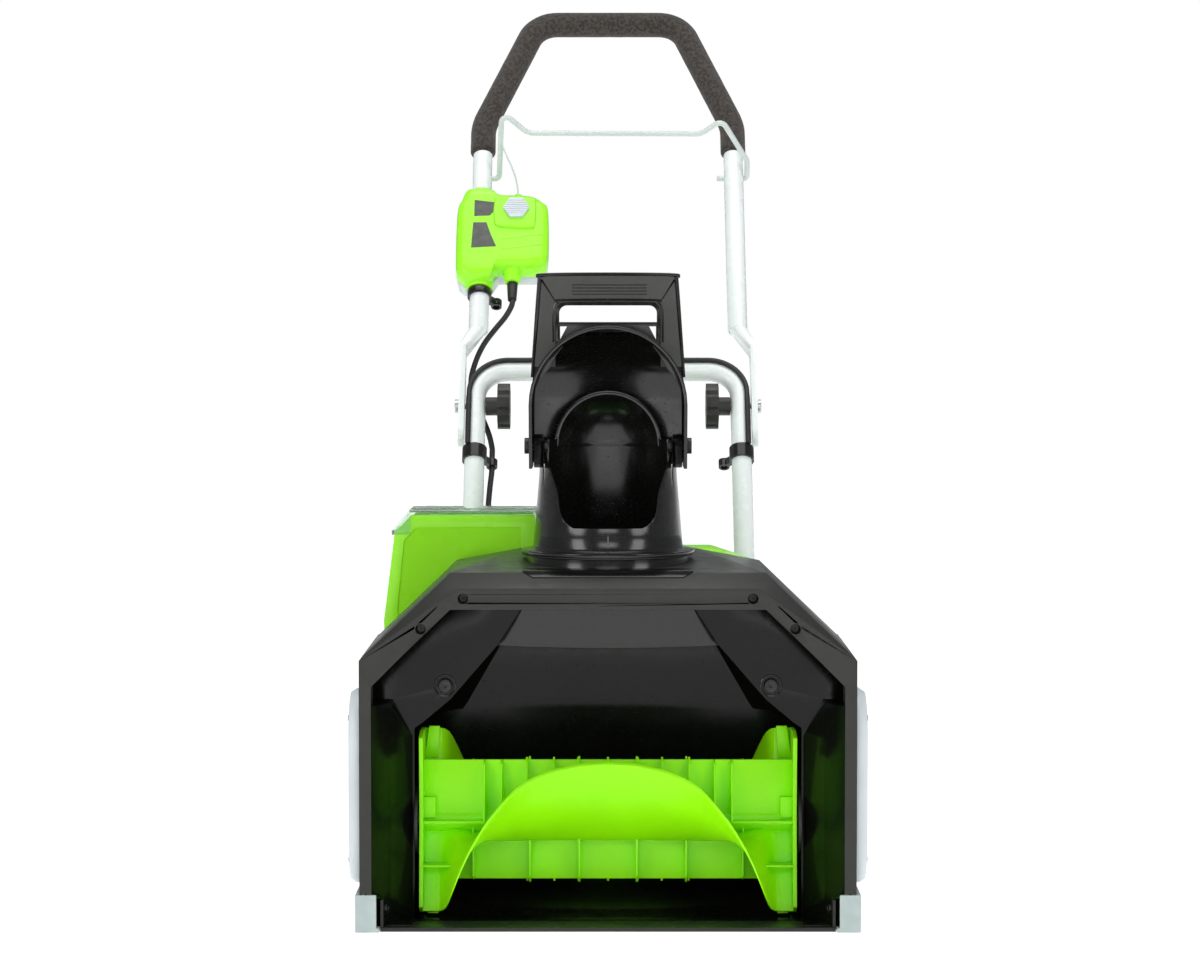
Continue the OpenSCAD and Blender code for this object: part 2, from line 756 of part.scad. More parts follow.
module lower_handle() {
    machine() color(white_tube) on_handle() difference() {
        swept(bent_points(hoop_path, [0, 40, 40, 0], 10), tube_r, 24, [0, 1, 0], tube_r - 1.6);
        rotate([0, 90, 0]) translate([0, 0, -300]) cylinder(r = 4.05, h = 600);
        translate([0, 0, bracket_s]) rotate([0, 90, 0]) translate([0, 0, -300]) cylinder(r = 3.05, h = 600);
    }
}

bracket_s = -309;

module leg_brackets() {
    machine() color(black_matte) both_sides() difference() {
        across(147, 179.9, [[338.2, deck_top], [338.2, 292], [368, 336], [418, 318], [418, deck_top]]);
        translate([0, fold_d, fold_z]) rotate([-lean, 0, 0]) translate([leg_x, 0, leg_end_s])
            cylinder(r = tube_r + 0.05, h = 200);
        translate([0, fold_d, fold_z]) rotate([-lean, 0, 0]) translate([0, 0, bracket_s])
            rotate([0, 90, 0]) cylinder(r = 3.05, h = 300);
    }
}

module bracket_bolts() {
    machine() color(steel) both_sides() on_handle() translate([0, 0, bracket_s]) rotate([0, 90, 0]) {
        translate([0, 0, 140]) cylinder(r = 5.5, h = 7);
        translate([0, 0, 147]) cylinder(r = 3, h = 36);
        translate([0, 0, 179.9]) cylinder(r = 6, h = 5, $fn = 6);
    }
}

// Black cushion strip between the two tubes, held by the clips
strip_r = 3.2;
strip_out = 8;
clip_s = -72;

module hoop_strip() {
    x = leg_x + strip_out;
    path = [[-x, clip_s + 9], [-x, hoop_s + strip_out], [x, hoop_s + strip_out], [x, clip_s + 9]];
    depth = sqrt(pow(tube_r + strip_r + 0.1, 2) - strip_out * strip_out);
    machine() color(black_matte) on_handle() translate([0, -depth, 0])
        bent_bar(path, [0, 40 + strip_out, 40 + strip_out, 0], strip_r);
}

loop_in = 21;
loop_y = 21;
loop_r = 4.5;

module clip(x, s, h, inward) {
    on_handle() difference() {
        union() {
            translate([x, 0, s - h / 2]) cylinder(r = tube_r + 2.8, h = h);
            translate([x - inward * loop_in, loop_y, s - 5]) cylinder(r = loop_r + 2.4, h = 10);
            translate([x, 0, s - 5]) rotate([0, 0, 90 + inward * 45]) translate([13.5, -3, 0]) cube([11, 6, 10]);
        }
        translate([x, 0, s - h]) cylinder(r = tube_r + 0.05, h = 2 * h);
        translate([x - inward * loop_in, loop_y, s - h]) cylinder(r = loop_r, h = 2 * h);
    }
}

module clip_left() { machine() color(black_gloss) clip(-leg_x, clip_s, 18, -1); }
module clip_right() { machine() color(black_gloss) clip(leg_x, clip_s, 18, 1); }
module upper_clip() { machine() color(black_gloss) clip(-top_x, 171, 10, -1); }

module handle_bolts() {
    machine() color(steel) on_handle() both_sides() rotate([0, 90, 0]) {
        translate([0, 0, 126]) cylinder(r = 4, h = flat_x1 - 126);
        translate([0, 0, flat_x1]) cylinder(r = 8.5, h = 5);
    }
}

module upper_handle() {
    machine() color(white_tube) on_handle() difference() {
        union() {
            swept(bent_points(upper_path, upper_bend, 6), tube_r, 20, [0, 1, 0], tube_r - 1.6);
            both_sides() {
                hull() {
                    translate([top_x, 0, round_s + 3]) cylinder(r = tube_r - 0.7, h = 0.5, $fn = 32);
                    translate([flat_x0, -15, flat_s]) cube([flat_x1 - flat_x0, 30, 0.5]);
                }
                translate([flat_x0, -15, -flat_end]) cube([flat_x1 - flat_x0, 30, flat_s + flat_end]);
                translate([flat_x0, 0, -flat_end]) rotate([0, 90, 0]) cylinder(r = 15, h = flat_x1 - flat_x0);
            }
        }
        rotate([0, 90, 0]) translate([0, 0, -200]) cylinder(r = 4.05, h = 400);
        translate([0, 0, bail_s]) rotate([0, 90, 0]) translate([0, 0, -170]) cylinder(r = bail_r + 0.3, h = 370);
    }
}

module foam_grip() {
    machine() color(black_matte) on_handle() difference() {
        bent_bar(foam_path, upper_bend, foam_r);
        bent_bar(foam_path, upper_bend, tube_r + 0.05, 1);
    }
}

// ---------- switch box ----------

cable_r = 3.5;
boss = [-122, -6];
hump = [-117, -6];
module box_solid(t, y0, y1) {
    outline = [[-183, 182], [-191, 190], [-194, 205], [-194, 288], [-188, 308], [-183, 325], [-150, 325],
        [-140, 314], [-98, 314], [-84, 304], [-77, 288], [-78, 214], [-88, 200], [-140, 200], [-150, 182]];
    translate([0, y1, 0]) rotate([90, 0, 0]) linear_extrude(y1 - y0) polygon(outline);
}

module box_holes() {
    translate([-top_x, 0, 150]) cylinder(r = tube_r + 0.05, h = 220);
    translate([boss[0], boss[1], 150]) cylinder(r = cable_r + 0.1, h = 80);
    translate([hump[0], hump[1], 290]) cylinder(r = 2.4, h = 80);
    translate([-147, -20, 212]) cube([64, 34, 88]);
}

button = [-118, 286];
button_y = -25;

module switch_box_front() {
    machine() color(lime) on_handle() difference() {
        union() {
            box_solid(0, -25, -0.1);
            translate([-top_x, 0, 177]) cylinder(r = 17, h = 8);
            translate([-top_x, 0, 322]) cylinder(r = 17, h = 8);
            translate([boss[0], boss[1], 184]) cylinder(r = 8.5, h = 18);
            translate([hump[0], hump[1], 308]) cylinder(r = 8, h = 14);
            translate([button[0] - 26, -28, button[1] - 24]) cube([48, 6, 42]);
        }
        translate([-230, -0.1, 150]) cube([200, 60, 220]);
        box_holes();
        translate([button[0], -40, button[1]]) rotate([-90, 0, 0]) cylinder(r = 17.4, h = 30, $fn = 6);
    }
}

module switch_box_back() {
    machine() color(pale_grey) on_handle() difference() {
        union() {
            box_solid(0, 0.1, 19);
            translate([-top_x, 0, 177]) cylinder(r = 17, h = 8);
            translate([-top_x, 0, 322]) cylinder(r = 17, h = 8);
        }
        translate([-230, -60, 150]) cube([200, 60.1, 220]);
        box_holes();
    }
}

module switch_module() {
    machine() color(black_matte) on_handle() {
        translate([button[0] - 15, -8, button[1] - 26]) cube([30, 22, 36]);
        translate([button[0] - 4, -11, button[1] - 4]) cube([8, 3, 8]);
    }
}

module start_button() {
    machine() color(pale_grey) on_handle() translate([button[0], -33, button[1]]) rotate([-90, 0, 0])
        difference() {
            cylinder(r = 17, h = 16, $fn = 6);
            for (i = [-3:3]) translate([-20, 3.4 * i - 0.6, -1]) cube([40, 1.2, 1.8]);
        }
}

module cable_gland() {
    machine() color(black_matte) on_handle() translate([boss[0], boss[1], 158]) difference() {
        cylinder(r1 = 5.6, r2 = 7, h = 26);
        translate([0, 0, -1]) cylinder(r = cable_r + 0.6, h = 40);
    }
}

// ---------- power cable ----------

upper_route = [[-122, 638.1, 695.8], [-122, 630.6, 685.1], [-130, 627, 670], [-144, 627, 653], [-158, 625, 634],
    [-168, 616, 612], [-173, 600, 588], [-168, 583, 563], [-156, 562, 540], [-148, 548, 521],
    [-144, 537.5, 505]];
lower_route = [[-144, 536.8, 504], [-144, 531.2, 496], [-144, 524.9, 487], [-144, 518.6, 478], [-146, 506, 458],
    [-148, 492, 430], [-149, 476, 395], [-150, 460, 358], [-150, 446, 326], [-150, 436.5, 304],
    [-150, 434, 290], [-150, 434, 272]];

module power_cable_upper() {
    machine() color(black_matte) swept(smooth(upper_route, 4), cable_r, 10);
}

module power_cable_lower() {
    machine() color(black_matte) swept(smooth(lower_route, 3), cable_r, 10);
}

// ---------- bail, its cable, knobs ----------

bail_r = 3.5;
bail_rest = 65;
bail_path = [[-158, 0], [-142, 0], [-137, 97], [-104, 66], [121, 65], [147, 85], [181, 26], [181, 0], [142, 0]];

module bail() {
    machine() color(white_tube) on_handle() translate([0, 0, bail_s]) rotate([bail_rest, 0, 0])
        swept(bent_points(bail_path, [0, 6, 7, 24, 24, 9, 12, 6, 0], 5), bail_r, 10, [0, 1, 0]);
}

module bail_cable() {
    route = [[hump[0], hump[1], 300], [hump[0], hump[1], 330], [-121, -18, 348], [-131, -36, 364], [-136.5, -45, 373.5]];
    machine() color(white_tube) on_handle() swept(smooth(route, 3), 1.1, 8);
}

module knob() {
    machine() color(black_matte) on_handle() rotate([0, 90, 0]) difference() {
        union() {
            translate([0, 0, 137]) cylinder(r = 11.5, h = leg_x - tube_r - 137.3);
            translate([0, 0, 122]) cylinder(r = 28.5, h = 15.5);
        }
        translate([0, 0, 125]) cylinder(r = 4.05, h = 40);
        for (a = [0:45:315]) rotate([0, 0, a]) translate([32, 0, 121]) cylinder(r = 6.5, h = 18);
    }
}

module knob_right() { knob(); }
module knob_left() { mirror([1, 0, 0]) knob(); }

// ---------- auger ----------

flight_t = 5;
flight_in = 13;
tip_angle = -72;
arch_angle = 45;
stations = 36;

// Angle of the front flight at the fraction u of the half length
function flight_angle(u) = arch_angle + (tip_angle - arch_angle) * pow(abs(u), 2.2);

module flight() {
    steps = [for (i = [0:stations]) 2 * i / stations - 1];
    ring = [for (u = steps) let (a = flight_angle(u), e = [-cos(a), sin(a)], n = [sin(a), cos(a)] * flight_t / 2)
        for (q = [e * flight_in - n, e * auger_r - n, e * auger_r + n, e * flight_in + n])
            [u * (auger_half - 0.2), q[0], q[1]]];
    sides = [for (i = [0:stations - 1], k = [0:3], half = [0, 1]) let (a = 4 * i + k, b = 4 * i + (k + 1) % 4)
        half == 0 ? [a, b, b + 4] : [a, b + 4, a + 4]];
    last = 4 * stations;
    polyhedron(ring, concat([[3, 2, 1, 0]], sides, [[last, last + 1, last + 2, last + 3]]), convexity = 10);
}

module end_plate() {
    outline = concat([[-12, 100], [-36, 96]], arc(0, 0, 30, 160, 250, 5), [[12, -100], [36, -96]],
        arc(0, 0, 30, 340, 430, 5));
    across(auger_half - 3, auger_half, outline);
}

module auger() {
    half_bar = auger_half - 3;
    machine() color(lime) translate([0, auger_d, auger_z]) difference() {
        union() {
            flight();
            rotate([180, 0, 0]) flight();
            block(-155, 155, -2, 2, -70, 68);
            axle(15, -half_bar, half_bar, 0, 0);
            both_sides() {
                block(141, half_bar, -30, 30, -2, 2);
                end_plate();
            }
            for (x = [0, 33, 61, 91, 123, 141], side = [-1, 1])
                across(side * x - 1.5, side * x + 1.5, [[-24, 0], [-13, 68], [13, 68], [24, 0]]);
            for (x = [33, 90, 152], side = [-1, 1])
                across(side * x - 1.5, side * x + 1.5, [[-24, 0], [-13, -70], [13, -70], [24, 0]]);
        }
        axle(shaft_r + 0.03, -auger_half - 1, auger_half + 1, 0, 0);
    }
}

outer_shell();
front_bezel();
auger_chamber();
bezel_screws();
shoulder_screws();
auger_bearings();
scraper_bar();
scraper_screws();
skid_left();
skid_right();
side_cover_left();
side_cover_right();
chute_seat();
rear_tub();
deck_plate();
motor_can();
controller();
drive_belt();
wheel_axle();
rear_cover();
battery_box();
battery_terminal();
lid_pin();
lower_handle();
leg_brackets();
bracket_bolts();
hoop_strip();
clip_left();
clip_right();
cable_boot();
power_cable_lower();
power_cable_upper();
handle_bolts();
auger();
auger_shaft();
auger_pulley();
motor_shaft();
motor_pulley();
wheel_left();
wheel_right();
tyre_left();
tyre_right();
chute();
deflector_bolts();
deflector_hood();
battery_lid();
battery_pack();
battery_release();
upper_handle();
foam_grip();
switch_box_front();
switch_box_back();
switch_module();
upper_clip();
cable_gland();
bail();
bail_cable();
start_button();
knob_left();
knob_right();
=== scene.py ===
"""Looks of a cordless snow shovel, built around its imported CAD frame."""

import json
import math

import bmesh
import bpy
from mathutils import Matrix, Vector, noise


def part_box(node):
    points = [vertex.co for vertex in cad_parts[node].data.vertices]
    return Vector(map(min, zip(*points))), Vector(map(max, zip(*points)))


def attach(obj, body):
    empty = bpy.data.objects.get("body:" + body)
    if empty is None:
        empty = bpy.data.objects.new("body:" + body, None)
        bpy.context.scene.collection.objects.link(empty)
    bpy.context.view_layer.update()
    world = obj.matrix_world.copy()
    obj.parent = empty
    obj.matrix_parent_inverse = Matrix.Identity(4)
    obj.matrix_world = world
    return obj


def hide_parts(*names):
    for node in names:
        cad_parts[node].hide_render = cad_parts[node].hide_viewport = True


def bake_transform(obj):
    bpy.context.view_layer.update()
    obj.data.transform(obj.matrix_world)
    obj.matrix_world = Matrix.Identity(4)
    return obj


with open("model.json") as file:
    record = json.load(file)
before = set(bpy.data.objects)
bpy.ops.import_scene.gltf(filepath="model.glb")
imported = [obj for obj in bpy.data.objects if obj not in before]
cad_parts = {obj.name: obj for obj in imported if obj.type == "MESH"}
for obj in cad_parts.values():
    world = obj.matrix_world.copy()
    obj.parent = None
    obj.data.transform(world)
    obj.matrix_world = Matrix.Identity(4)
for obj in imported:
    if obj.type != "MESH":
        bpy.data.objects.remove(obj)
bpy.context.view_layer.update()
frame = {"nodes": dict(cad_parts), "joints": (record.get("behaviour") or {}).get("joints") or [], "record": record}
nodes = frame["nodes"]

# noise_vector takes its offsets from the clock unless it is given a seed
noise.seed_set(1)

MM = 0.001
# Y of the housing's front plane, in metres
FRONT_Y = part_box("front_bezel")[0].y

# The handle leans back from its fold pivot
LEAN = math.radians(35)
FOLD = Vector(next(j for j in frame["joints"] if j["name"] == "handle_fold")["pos_m"])
UP_LEG = Vector((0, math.sin(LEAN), math.cos(LEAN)))
OFF_LEG = Vector((0, math.cos(LEAN), -math.sin(LEAN)))


def at(x, depth, z):
    """Machine millimetres in the frame. Depth is measured back from the housing's front plane."""
    return Vector((x * MM, FRONT_Y + depth * MM, z * MM))


def on_handle(x, y, s):
    """Handle millimetres in the frame. s runs up the leg, and y is square to the handle's plane."""
    return FOLD + Vector((x * MM, 0, 0)) + OFF_LEG * (y * MM) + UP_LEG * (s * MM)


# ---------- camera, floor and light ----------

# Where the camera stands in front of the housing, in metres, and how far it looks down
EYE_DISTANCE, EYE_HEIGHT, LOOK_DOWN_DEG = 3.5, 0.663, 2.785

# Name, place, the point it faces, size in metres and power in watts
AREA_LIGHTS = [
    ("overhead", (0, -0.3, 2.8), (0, -0.2, 0), (2.6, 1.6), 26),
    ("key_left", (-2.6, -2.6, 1.9), (0, -0.1, 0.5), (1.2, 1.8), 34),
    ("key_right", (2.6, -2.6, 1.9), (0, -0.1, 0.5), (1.2, 1.8), 30),
    ("low_fill", (0, -4.4, 0.35), (0, 0, 0.4), (3.0, 0.4), 9),
    ("front_fill", (0, -4.6, 2.3), (0, 0, 0.5), (2.2, 0.9), 24),
]


def add_object(name, data):
    obj = bpy.data.objects.new(name, data)
    bpy.context.scene.collection.objects.link(obj)
    return obj


def make_camera():
    data = bpy.data.cameras.new("camera")
    data.lens = 97.4
    data.sensor_width = 36
    data.shift_x = -0.0067
    data.clip_end = 100
    camera = add_object("camera", data)
    camera.location = (0, FRONT_Y - EYE_DISTANCE, EYE_HEIGHT)
    camera.rotation_euler = (math.radians(90 - LOOK_DOWN_DEG), 0, 0)
    bpy.context.scene.camera = camera


def make_world():
    """White background to the camera, and a dim cool light from all round to the object."""
    world = bpy.data.worlds.new("studio")
    bpy.context.scene.world = world
    world.use_nodes = True
    tree = world.node_tree
    tree.nodes.clear()
    out = tree.nodes.new("ShaderNodeOutputWorld")
    mix = tree.nodes.new("ShaderNodeMixShader")
    ray = tree.nodes.new("ShaderNodeLightPath")
    ambient = tree.nodes.new("ShaderNodeBackground")
    seen = tree.nodes.new("ShaderNodeBackground")
    set_inputs(ambient, {"Color": (0.95, 0.98, 1, 1), "Strength": 0.24})
    set_inputs(seen, {"Color": (1, 1, 1, 1), "Strength": 1.0})
    tree.links.new(ray.outputs["Is Camera Ray"], mix.inputs["Fac"])
    tree.links.new(ambient.outputs[0], mix.inputs[1])
    tree.links.new(seen.outputs[0], mix.inputs[2])
    tree.links.new(mix.outputs[0], out.inputs["Surface"])


def make_lights():
    """Wide soft sun and the area lights."""
    sun = bpy.data.lights.new("sky_light", "SUN")
    sun.energy = 0.9
    sun.angle = math.radians(40)
    add_object("sky_light", sun).rotation_euler = (math.radians(-8), 0, 0)
    for name, place, aim, size, power in AREA_LIGHTS:
        data = bpy.data.lights.new(name, "AREA")
        data.shape = "RECTANGLE"
        data.size, data.size_y = size
        data.energy = power
        light = add_object(name, data)
        light.location = place
        light.rotation_euler = (Vector(aim) - Vector(place)).to_track_quat("-Z", "Y").to_euler()


def make_floor():
    """Pale floor that glows a little, so that it runs into the background."""
    half = 60
    corners = [(-half, -half, 0), (half, -half, 0), (half, half, 0), (-half, half, 0)]
    mesh = bpy.data.meshes.new("floor")
    mesh.from_pydata(corners, [], [(0, 1, 2, 3)])
    floor = add_object("floor", mesh)
    mat, tree, shader = new_material("floor")
    mottle(tree, shader, (0.78, 0.78, 0.78), size_mm=300, spread=0.01)
    set_inputs(shader, {"Roughness": 0.7, "Specular IOR Level": 0.1,
                        "Emission Color": (1, 1, 1, 1), "Emission Strength": 0.66})
    mesh.materials.append(mat)


def make_studio():
    bpy.context.scene.view_settings.view_transform = "Standard"
    make_world()
    make_lights()
    make_floor()


# ---------- shading helpers ----------


# Turn of stretched noise off the axes, in radians, so that its streaks don't follow the object's edges
STREAK_TURN = (0.4, 0.3, 0.5)


def set_inputs(node, values):
    """Plain values, set straight on a node's sockets."""
    for socket, value in values.items():
        node.inputs[socket].default_value = value


def new_material(name):
    mat = bpy.data.materials.new(name)
    mat.use_nodes = True
    return mat, mat.node_tree, mat.node_tree.nodes["Principled BSDF"]


def noise_at(tree, size_mm, detail=2.0, stretch=None):
    """Noise whose blobs are about size_mm across on the object."""
    coords = tree.nodes.new("ShaderNodeTexCoord").outputs["Object"]
    if stretch:
        mapping = tree.nodes.new("ShaderNodeMapping")
        set_inputs(mapping, {"Scale": stretch, "Rotation": STREAK_TURN})
        tree.links.new(coords, mapping.inputs["Vector"])
        coords = mapping.outputs[0]
    texture = tree.nodes.new("ShaderNodeTexNoise")
    set_inputs(texture, {"Scale": 1 / (size_mm * MM), "Detail": detail})
    tree.links.new(coords, texture.inputs["Vector"])
    return texture.outputs["Fac"]


def map_range(tree, value, low, high, start=0.3, end=0.7):
    """The value's span from start to end, mapped on to low to high."""
    node = tree.nodes.new("ShaderNodeMapRange")
    set_inputs(node, {"From Min": start, "From Max": end, "To Min": low, "To Max": high})
    tree.links.new(value, node.inputs["Value"])
    return node.outputs["Result"]


def mottle(tree, shader, colour, size_mm, spread, contrast=0.15):
    """Slow colour variation round a base colour. A smaller contrast gives patches with harder edges."""
    ramp = tree.nodes.new("ShaderNodeValToRGB")
    dark, pale = ramp.color_ramp.elements
    dark.position, pale.position = 0.5 - contrast, 0.5 + contrast
    dark.color = [c * (1 - spread) for c in colour] + [1]
    pale.color = [min(c * (1 + spread), 1) for c in colour] + [1]
    tree.links.new(noise_at(tree, size_mm, detail=4), ramp.inputs["Fac"])
    tree.links.new(ramp.outputs["Color"], shader.inputs["Base Color"])


def bump(tree, shader, layers):
    """Stack of (height value, depth in mm) bumps."""
    normal = None
    for value, depth in layers:
        node = tree.nodes.new("ShaderNodeBump")
        node.inputs["Distance"].default_value = depth * MM
        tree.links.new(value, node.inputs["Height"])
        if normal:
            tree.links.new(normal, node.inputs["Normal"])
        normal = node.outputs["Normal"]
    tree.links.new(normal, shader.inputs["Normal"])


# ---------- materials ----------


def moulding(name, colour, rough, grain, spread=0.05, patch=70, waves=(40, 0.15), coat=0.0, soft=0.0,
             scuffs=0.0, specular=0.5):
    """Moulded plastic.

    patch and spread are the size and strength of its colour's variation, grain is the (size, depth) of its
    surface texture, waves is that of the slow unevenness of a big wall, and scuffs is how much rougher its
    rubbed streaks are. Sizes and depths are in mm.
    """
    mat, tree, shader = new_material(name)
    mottle(tree, shader, colour, patch, spread)
    rough_value = map_range(tree, noise_at(tree, 18, detail=5), rough * 0.82, rough * 1.18)
    if scuffs:
        streaks = noise_at(tree, 6, detail=3, stretch=(1, 14, 3))
        add = tree.nodes.new("ShaderNodeMath")
        add.operation = "ADD"
        tree.links.new(rough_value, add.inputs[0])
        tree.links.new(map_range(tree, streaks, 0, scuffs, start=0.62, end=0.74), add.inputs[1])
        rough_value = add.outputs[0]
    tree.links.new(rough_value, shader.inputs["Roughness"])
    set_inputs(shader, {"Coat Weight": coat, "Coat Roughness": 0.12, "Specular IOR Level": specular})
    if soft:
        set_inputs(shader, {"Subsurface Weight": soft, "Subsurface Radius": (0.004, 0.006, 0.002),
                            "Subsurface Scale": 1.0})
    slow, fine = noise_at(tree, waves[0], detail=1), noise_at(tree, grain[0], detail=3)
    bump(tree, shader, [(slow, waves[1]), (fine, grain[1])])
    return mat


def metal(name, colour, rough):
    """Steel with brushed lines."""
    mat, tree, shader = new_material(name)
    mottle(tree, shader, colour, size_mm=12, spread=0.12)
    shader.inputs["Metallic"].default_value = 1.0
    lines = noise_at(tree, 1.2, detail=4, stretch=(1, 8, 1))
    tree.links.new(map_range(tree, lines, rough * 0.75, rough * 1.3), shader.inputs["Roughness"])
    bump(tree, shader, [(lines, 0.03)])
    return mat


def foam_material():
    """Open foam rubber with fine cells."""
    mat, tree, shader = new_material("foam")
    mottle(tree, shader, (0.042, 0.035, 0.030), size_mm=4, spread=0.35, contrast=0.08)
    set_inputs(shader, {"Roughness": 0.95, "Specular IOR Level": 0.25, "Sheen Weight": 0.12,
                        "Sheen Roughness": 0.6})
    cell_mm = 1.1
    cells = tree.nodes.new("ShaderNodeTexVoronoi")
    cells.inputs["Scale"].default_value = 1 / (cell_mm * MM)
    coords = tree.nodes.new("ShaderNodeTexCoord")
    tree.links.new(coords.outputs["Object"], cells.inputs["Vector"])
    bump(tree, shader, [(noise_at(tree, 9, detail=3), 0.5), (cells.outputs["Distance"], 0.25)])
    return mat


def clear_material():
    """Clear, faintly green plastic. Its low IOR keeps what shows through it free of grain."""
    mat, tree, shader = new_material("clear_lid")
    mottle(tree, shader, (0.80, 0.93, 0.82), size_mm=60, spread=0.03)
    tree.links.new(map_range(tree, noise_at(tree, 30, detail=3), 0.03, 0.09), shader.inputs["Roughness"])
    set_inputs(shader, {"Transmission Weight": 0.92, "IOR": 1.12})
    bump(tree, shader, [(noise_at(tree, 60, detail=1), 0.03)])
    return mat


def label_material():
    """Dark printed film of the blank labels."""
    mat, tree, shader = new_material("blank_label")
    mottle(tree, shader, (0.055, 0.060, 0.050), size_mm=8, spread=0.25)
    tree.links.new(map_range(tree, noise_at(tree, 5), 0.35, 0.5), shader.inputs["Roughness"])
    bump(tree, shader, [(noise_at(tree, 2), 0.02)])
    return mat


MOULDINGS = {
    "black_shell": dict(colour=(0.017, 0.017, 0.015), rough=0.44, grain=(1.1, 0.10), spread=0.10, patch=50,
                        scuffs=0.14, specular=0.42),
    "satin_skin": dict(colour=(0.040, 0.041, 0.037), rough=0.40, grain=(1.2, 0.12), spread=0.08, patch=50,
                       waves=(60, 0.2), coat=0.12),
    "gloss_black": dict(colour=(0.0065, 0.0065, 0.006), rough=0.20, grain=(3.0, 0.015), spread=0.15, patch=90,
                        waves=(60, 0.25), coat=0.2, scuffs=0.22, specular=0.40),
    "deep_black": dict(colour=(0.0045, 0.0048, 0.0040), rough=0.17, grain=(3.0, 0.012), spread=0.2, patch=90,
                       waves=(60, 0.2), scuffs=0.2, specular=0.20),
    # The tubes' white paint, darkened as painted shade so that the thin wires don't read too pale
    "white_wire_painted_shade": dict(colour=(0.56, 0.62, 0.60), rough=0.30, grain=(1.5, 0.02), spread=0.03, patch=60,
                       waves=(8, 0.02), coat=0.2),
    "auger_green": dict(colour=(0.300, 0.90, 0.001), rough=0.36, grain=(2.0, 0.02), patch=80, waves=(50, 0.3),
                        soft=0.05, scuffs=0.18, specular=0.28),
    "cover_green": dict(colour=(0.330, 0.93, 0.020), rough=0.30, grain=(2.5, 0.02), spread=0.04, patch=90,
                        waves=(60, 0.25), coat=0.15, soft=0.05, specular=0.28),
    "grey_plastic": dict(colour=(0.60, 0.65, 0.68), rough=0.42, grain=(1.3, 0.04), spread=0.04),
    "skid_grey": dict(colour=(0.42, 0.50, 0.49), rough=0.38, grain=(1.6, 0.04), spread=0.08, patch=25,
                      waves=(20, 0.1), scuffs=0.25),
    "white_tube": dict(colour=(0.80, 0.85, 0.84), rough=0.26, grain=(1.8, 0.03), spread=0.02, patch=120,
                       waves=(8, 0.02), coat=0.25),
    "black_rubber": dict(colour=(0.012, 0.012, 0.012), rough=0.52, grain=(0.9, 0.04), spread=0.12, patch=20,
                         waves=(15, 0.05)),
    "tread": dict(colour=(0.016, 0.016, 0.016), rough=0.72, grain=(1.0, 0.12), spread=0.18, patch=16,
                  waves=(12, 0.1)),
    "dark_plastic": dict(colour=(0.026, 0.026, 0.024), rough=0.44, grain=(1.0, 0.08), spread=0.10, patch=25,
                         specular=0.36),
}

materials = {name: moulding(name, **look) for name, look in MOULDINGS.items()}
materials["steel"] = metal("steel", (0.52, 0.52, 0.54), rough=0.34)
materials["black_steel"] = metal("black_steel", (0.045, 0.045, 0.047), rough=0.42)
materials["foam"] = foam_material()
materials["clear_lid"] = clear_material()
materials["blank_label"] = label_material()


# ---------- mesh helpers ----------

# Edges flatter than this are smoothed, and sharper ones are rounded
SHARP_DEG = 34


def smooth_group():
    """Node group that drops a mesh's stored normals and smooths it across edges flatter than SHARP_DEG."""
    group = bpy.data.node_groups.new(f"smooth_below_{SHARP_DEG}", "GeometryNodeTree")
    group.interface.new_socket("Geometry", in_out="INPUT", socket_type="NodeSocketGeometry")
    group.interface.new_socket("Geometry", in_out="OUTPUT", socket_type="NodeSocketGeometry")
    make = group.nodes.new
    source, result = make("NodeGroupInput"), make("NodeGroupOutput")
    plain = make("GeometryNodeRemoveAttribute")
    plain.inputs["Name"].default_value = "custom_normal"
    angle, below = make("GeometryNodeInputMeshEdgeAngle"), make("FunctionNodeCompare")
    below.operation = "LESS_THAN"
    below.inputs["B"].default_value = math.radians(SHARP_DEG)
    faces, edges = make("GeometryNodeSetShadeSmooth"), make("GeometryNodeSetShadeSmooth")
    edges.domain = "EDGE"
    join = group.links.new
    join(source.outputs[0], plain.inputs["Geometry"])
    join(plain.outputs[0], faces.inputs["Geometry"])
    join(faces.outputs[0], edges.inputs["Geometry"])
    join(angle.outputs["Unsigned Angle"], below.inputs["A"])
    join(below.outputs["Result"], edges.inputs["Shade Smooth"])
    join(edges.outputs[0], result.inputs[0])
    return group


SMOOTH = smooth_group()


def soften(obj, edge_mm, segments=2):
    """Weld an object's seams, round its hard edges and smooth its curved faces."""
    weld = obj.modifiers.new("weld", "WELD")
    weld.merge_threshold = 0.02 * MM
    if edge_mm:
        bevel = obj.modifiers.new("edges", "BEVEL")
        bevel.width = edge_mm * MM
        bevel.segments = segments
        bevel.limit_method = "ANGLE"
        bevel.angle_limit = math.radians(SHARP_DEG)
        bevel.use_clamp_overlap = True
    obj.modifiers.new("smooth", "NODES").node_group = SMOOTH


def piece(name, shape, body, slot, edge_mm=0.6, segments=2, replaces=(), look=None):
    """Object made of a (verts, faces) shape. look names a material that isn't its slot's own."""
    verts, faces = shape
    mesh = bpy.data.meshes.new(name)
    mesh.from_pydata([tuple(v) for v in verts], [], [tuple(f) for f in faces])
    work = bmesh.new()
    work.from_mesh(mesh)
    bmesh.ops.recalc_face_normals(work, faces=work.faces)
    work.to_mesh(mesh)
    work.free()
    obj = add_object(name, mesh)
    mesh.materials.append(materials[look or slot])
    soften(obj, edge_mm, segments)
    if body:
        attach(obj, body)
    if replaces:
        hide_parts(*replaces)
    return obj


def loft(rings, closed_ends=True):
    """Faces over a row of rings that all have the same number of points."""
    count = len(rings[0])
    verts = [p for ring in rings for p in ring]
    faces = []
    for i in range(len(rings) - 1):
        for k in range(count):
            a, b = i * count + k, i * count + (k + 1) % count
            faces.append((a, b, b + count, a + count))
    if closed_ends:
        faces.append(tuple(range(count))[::-1])
        faces.append(tuple(len(verts) - count + k for k in range(count)))
    return verts, faces


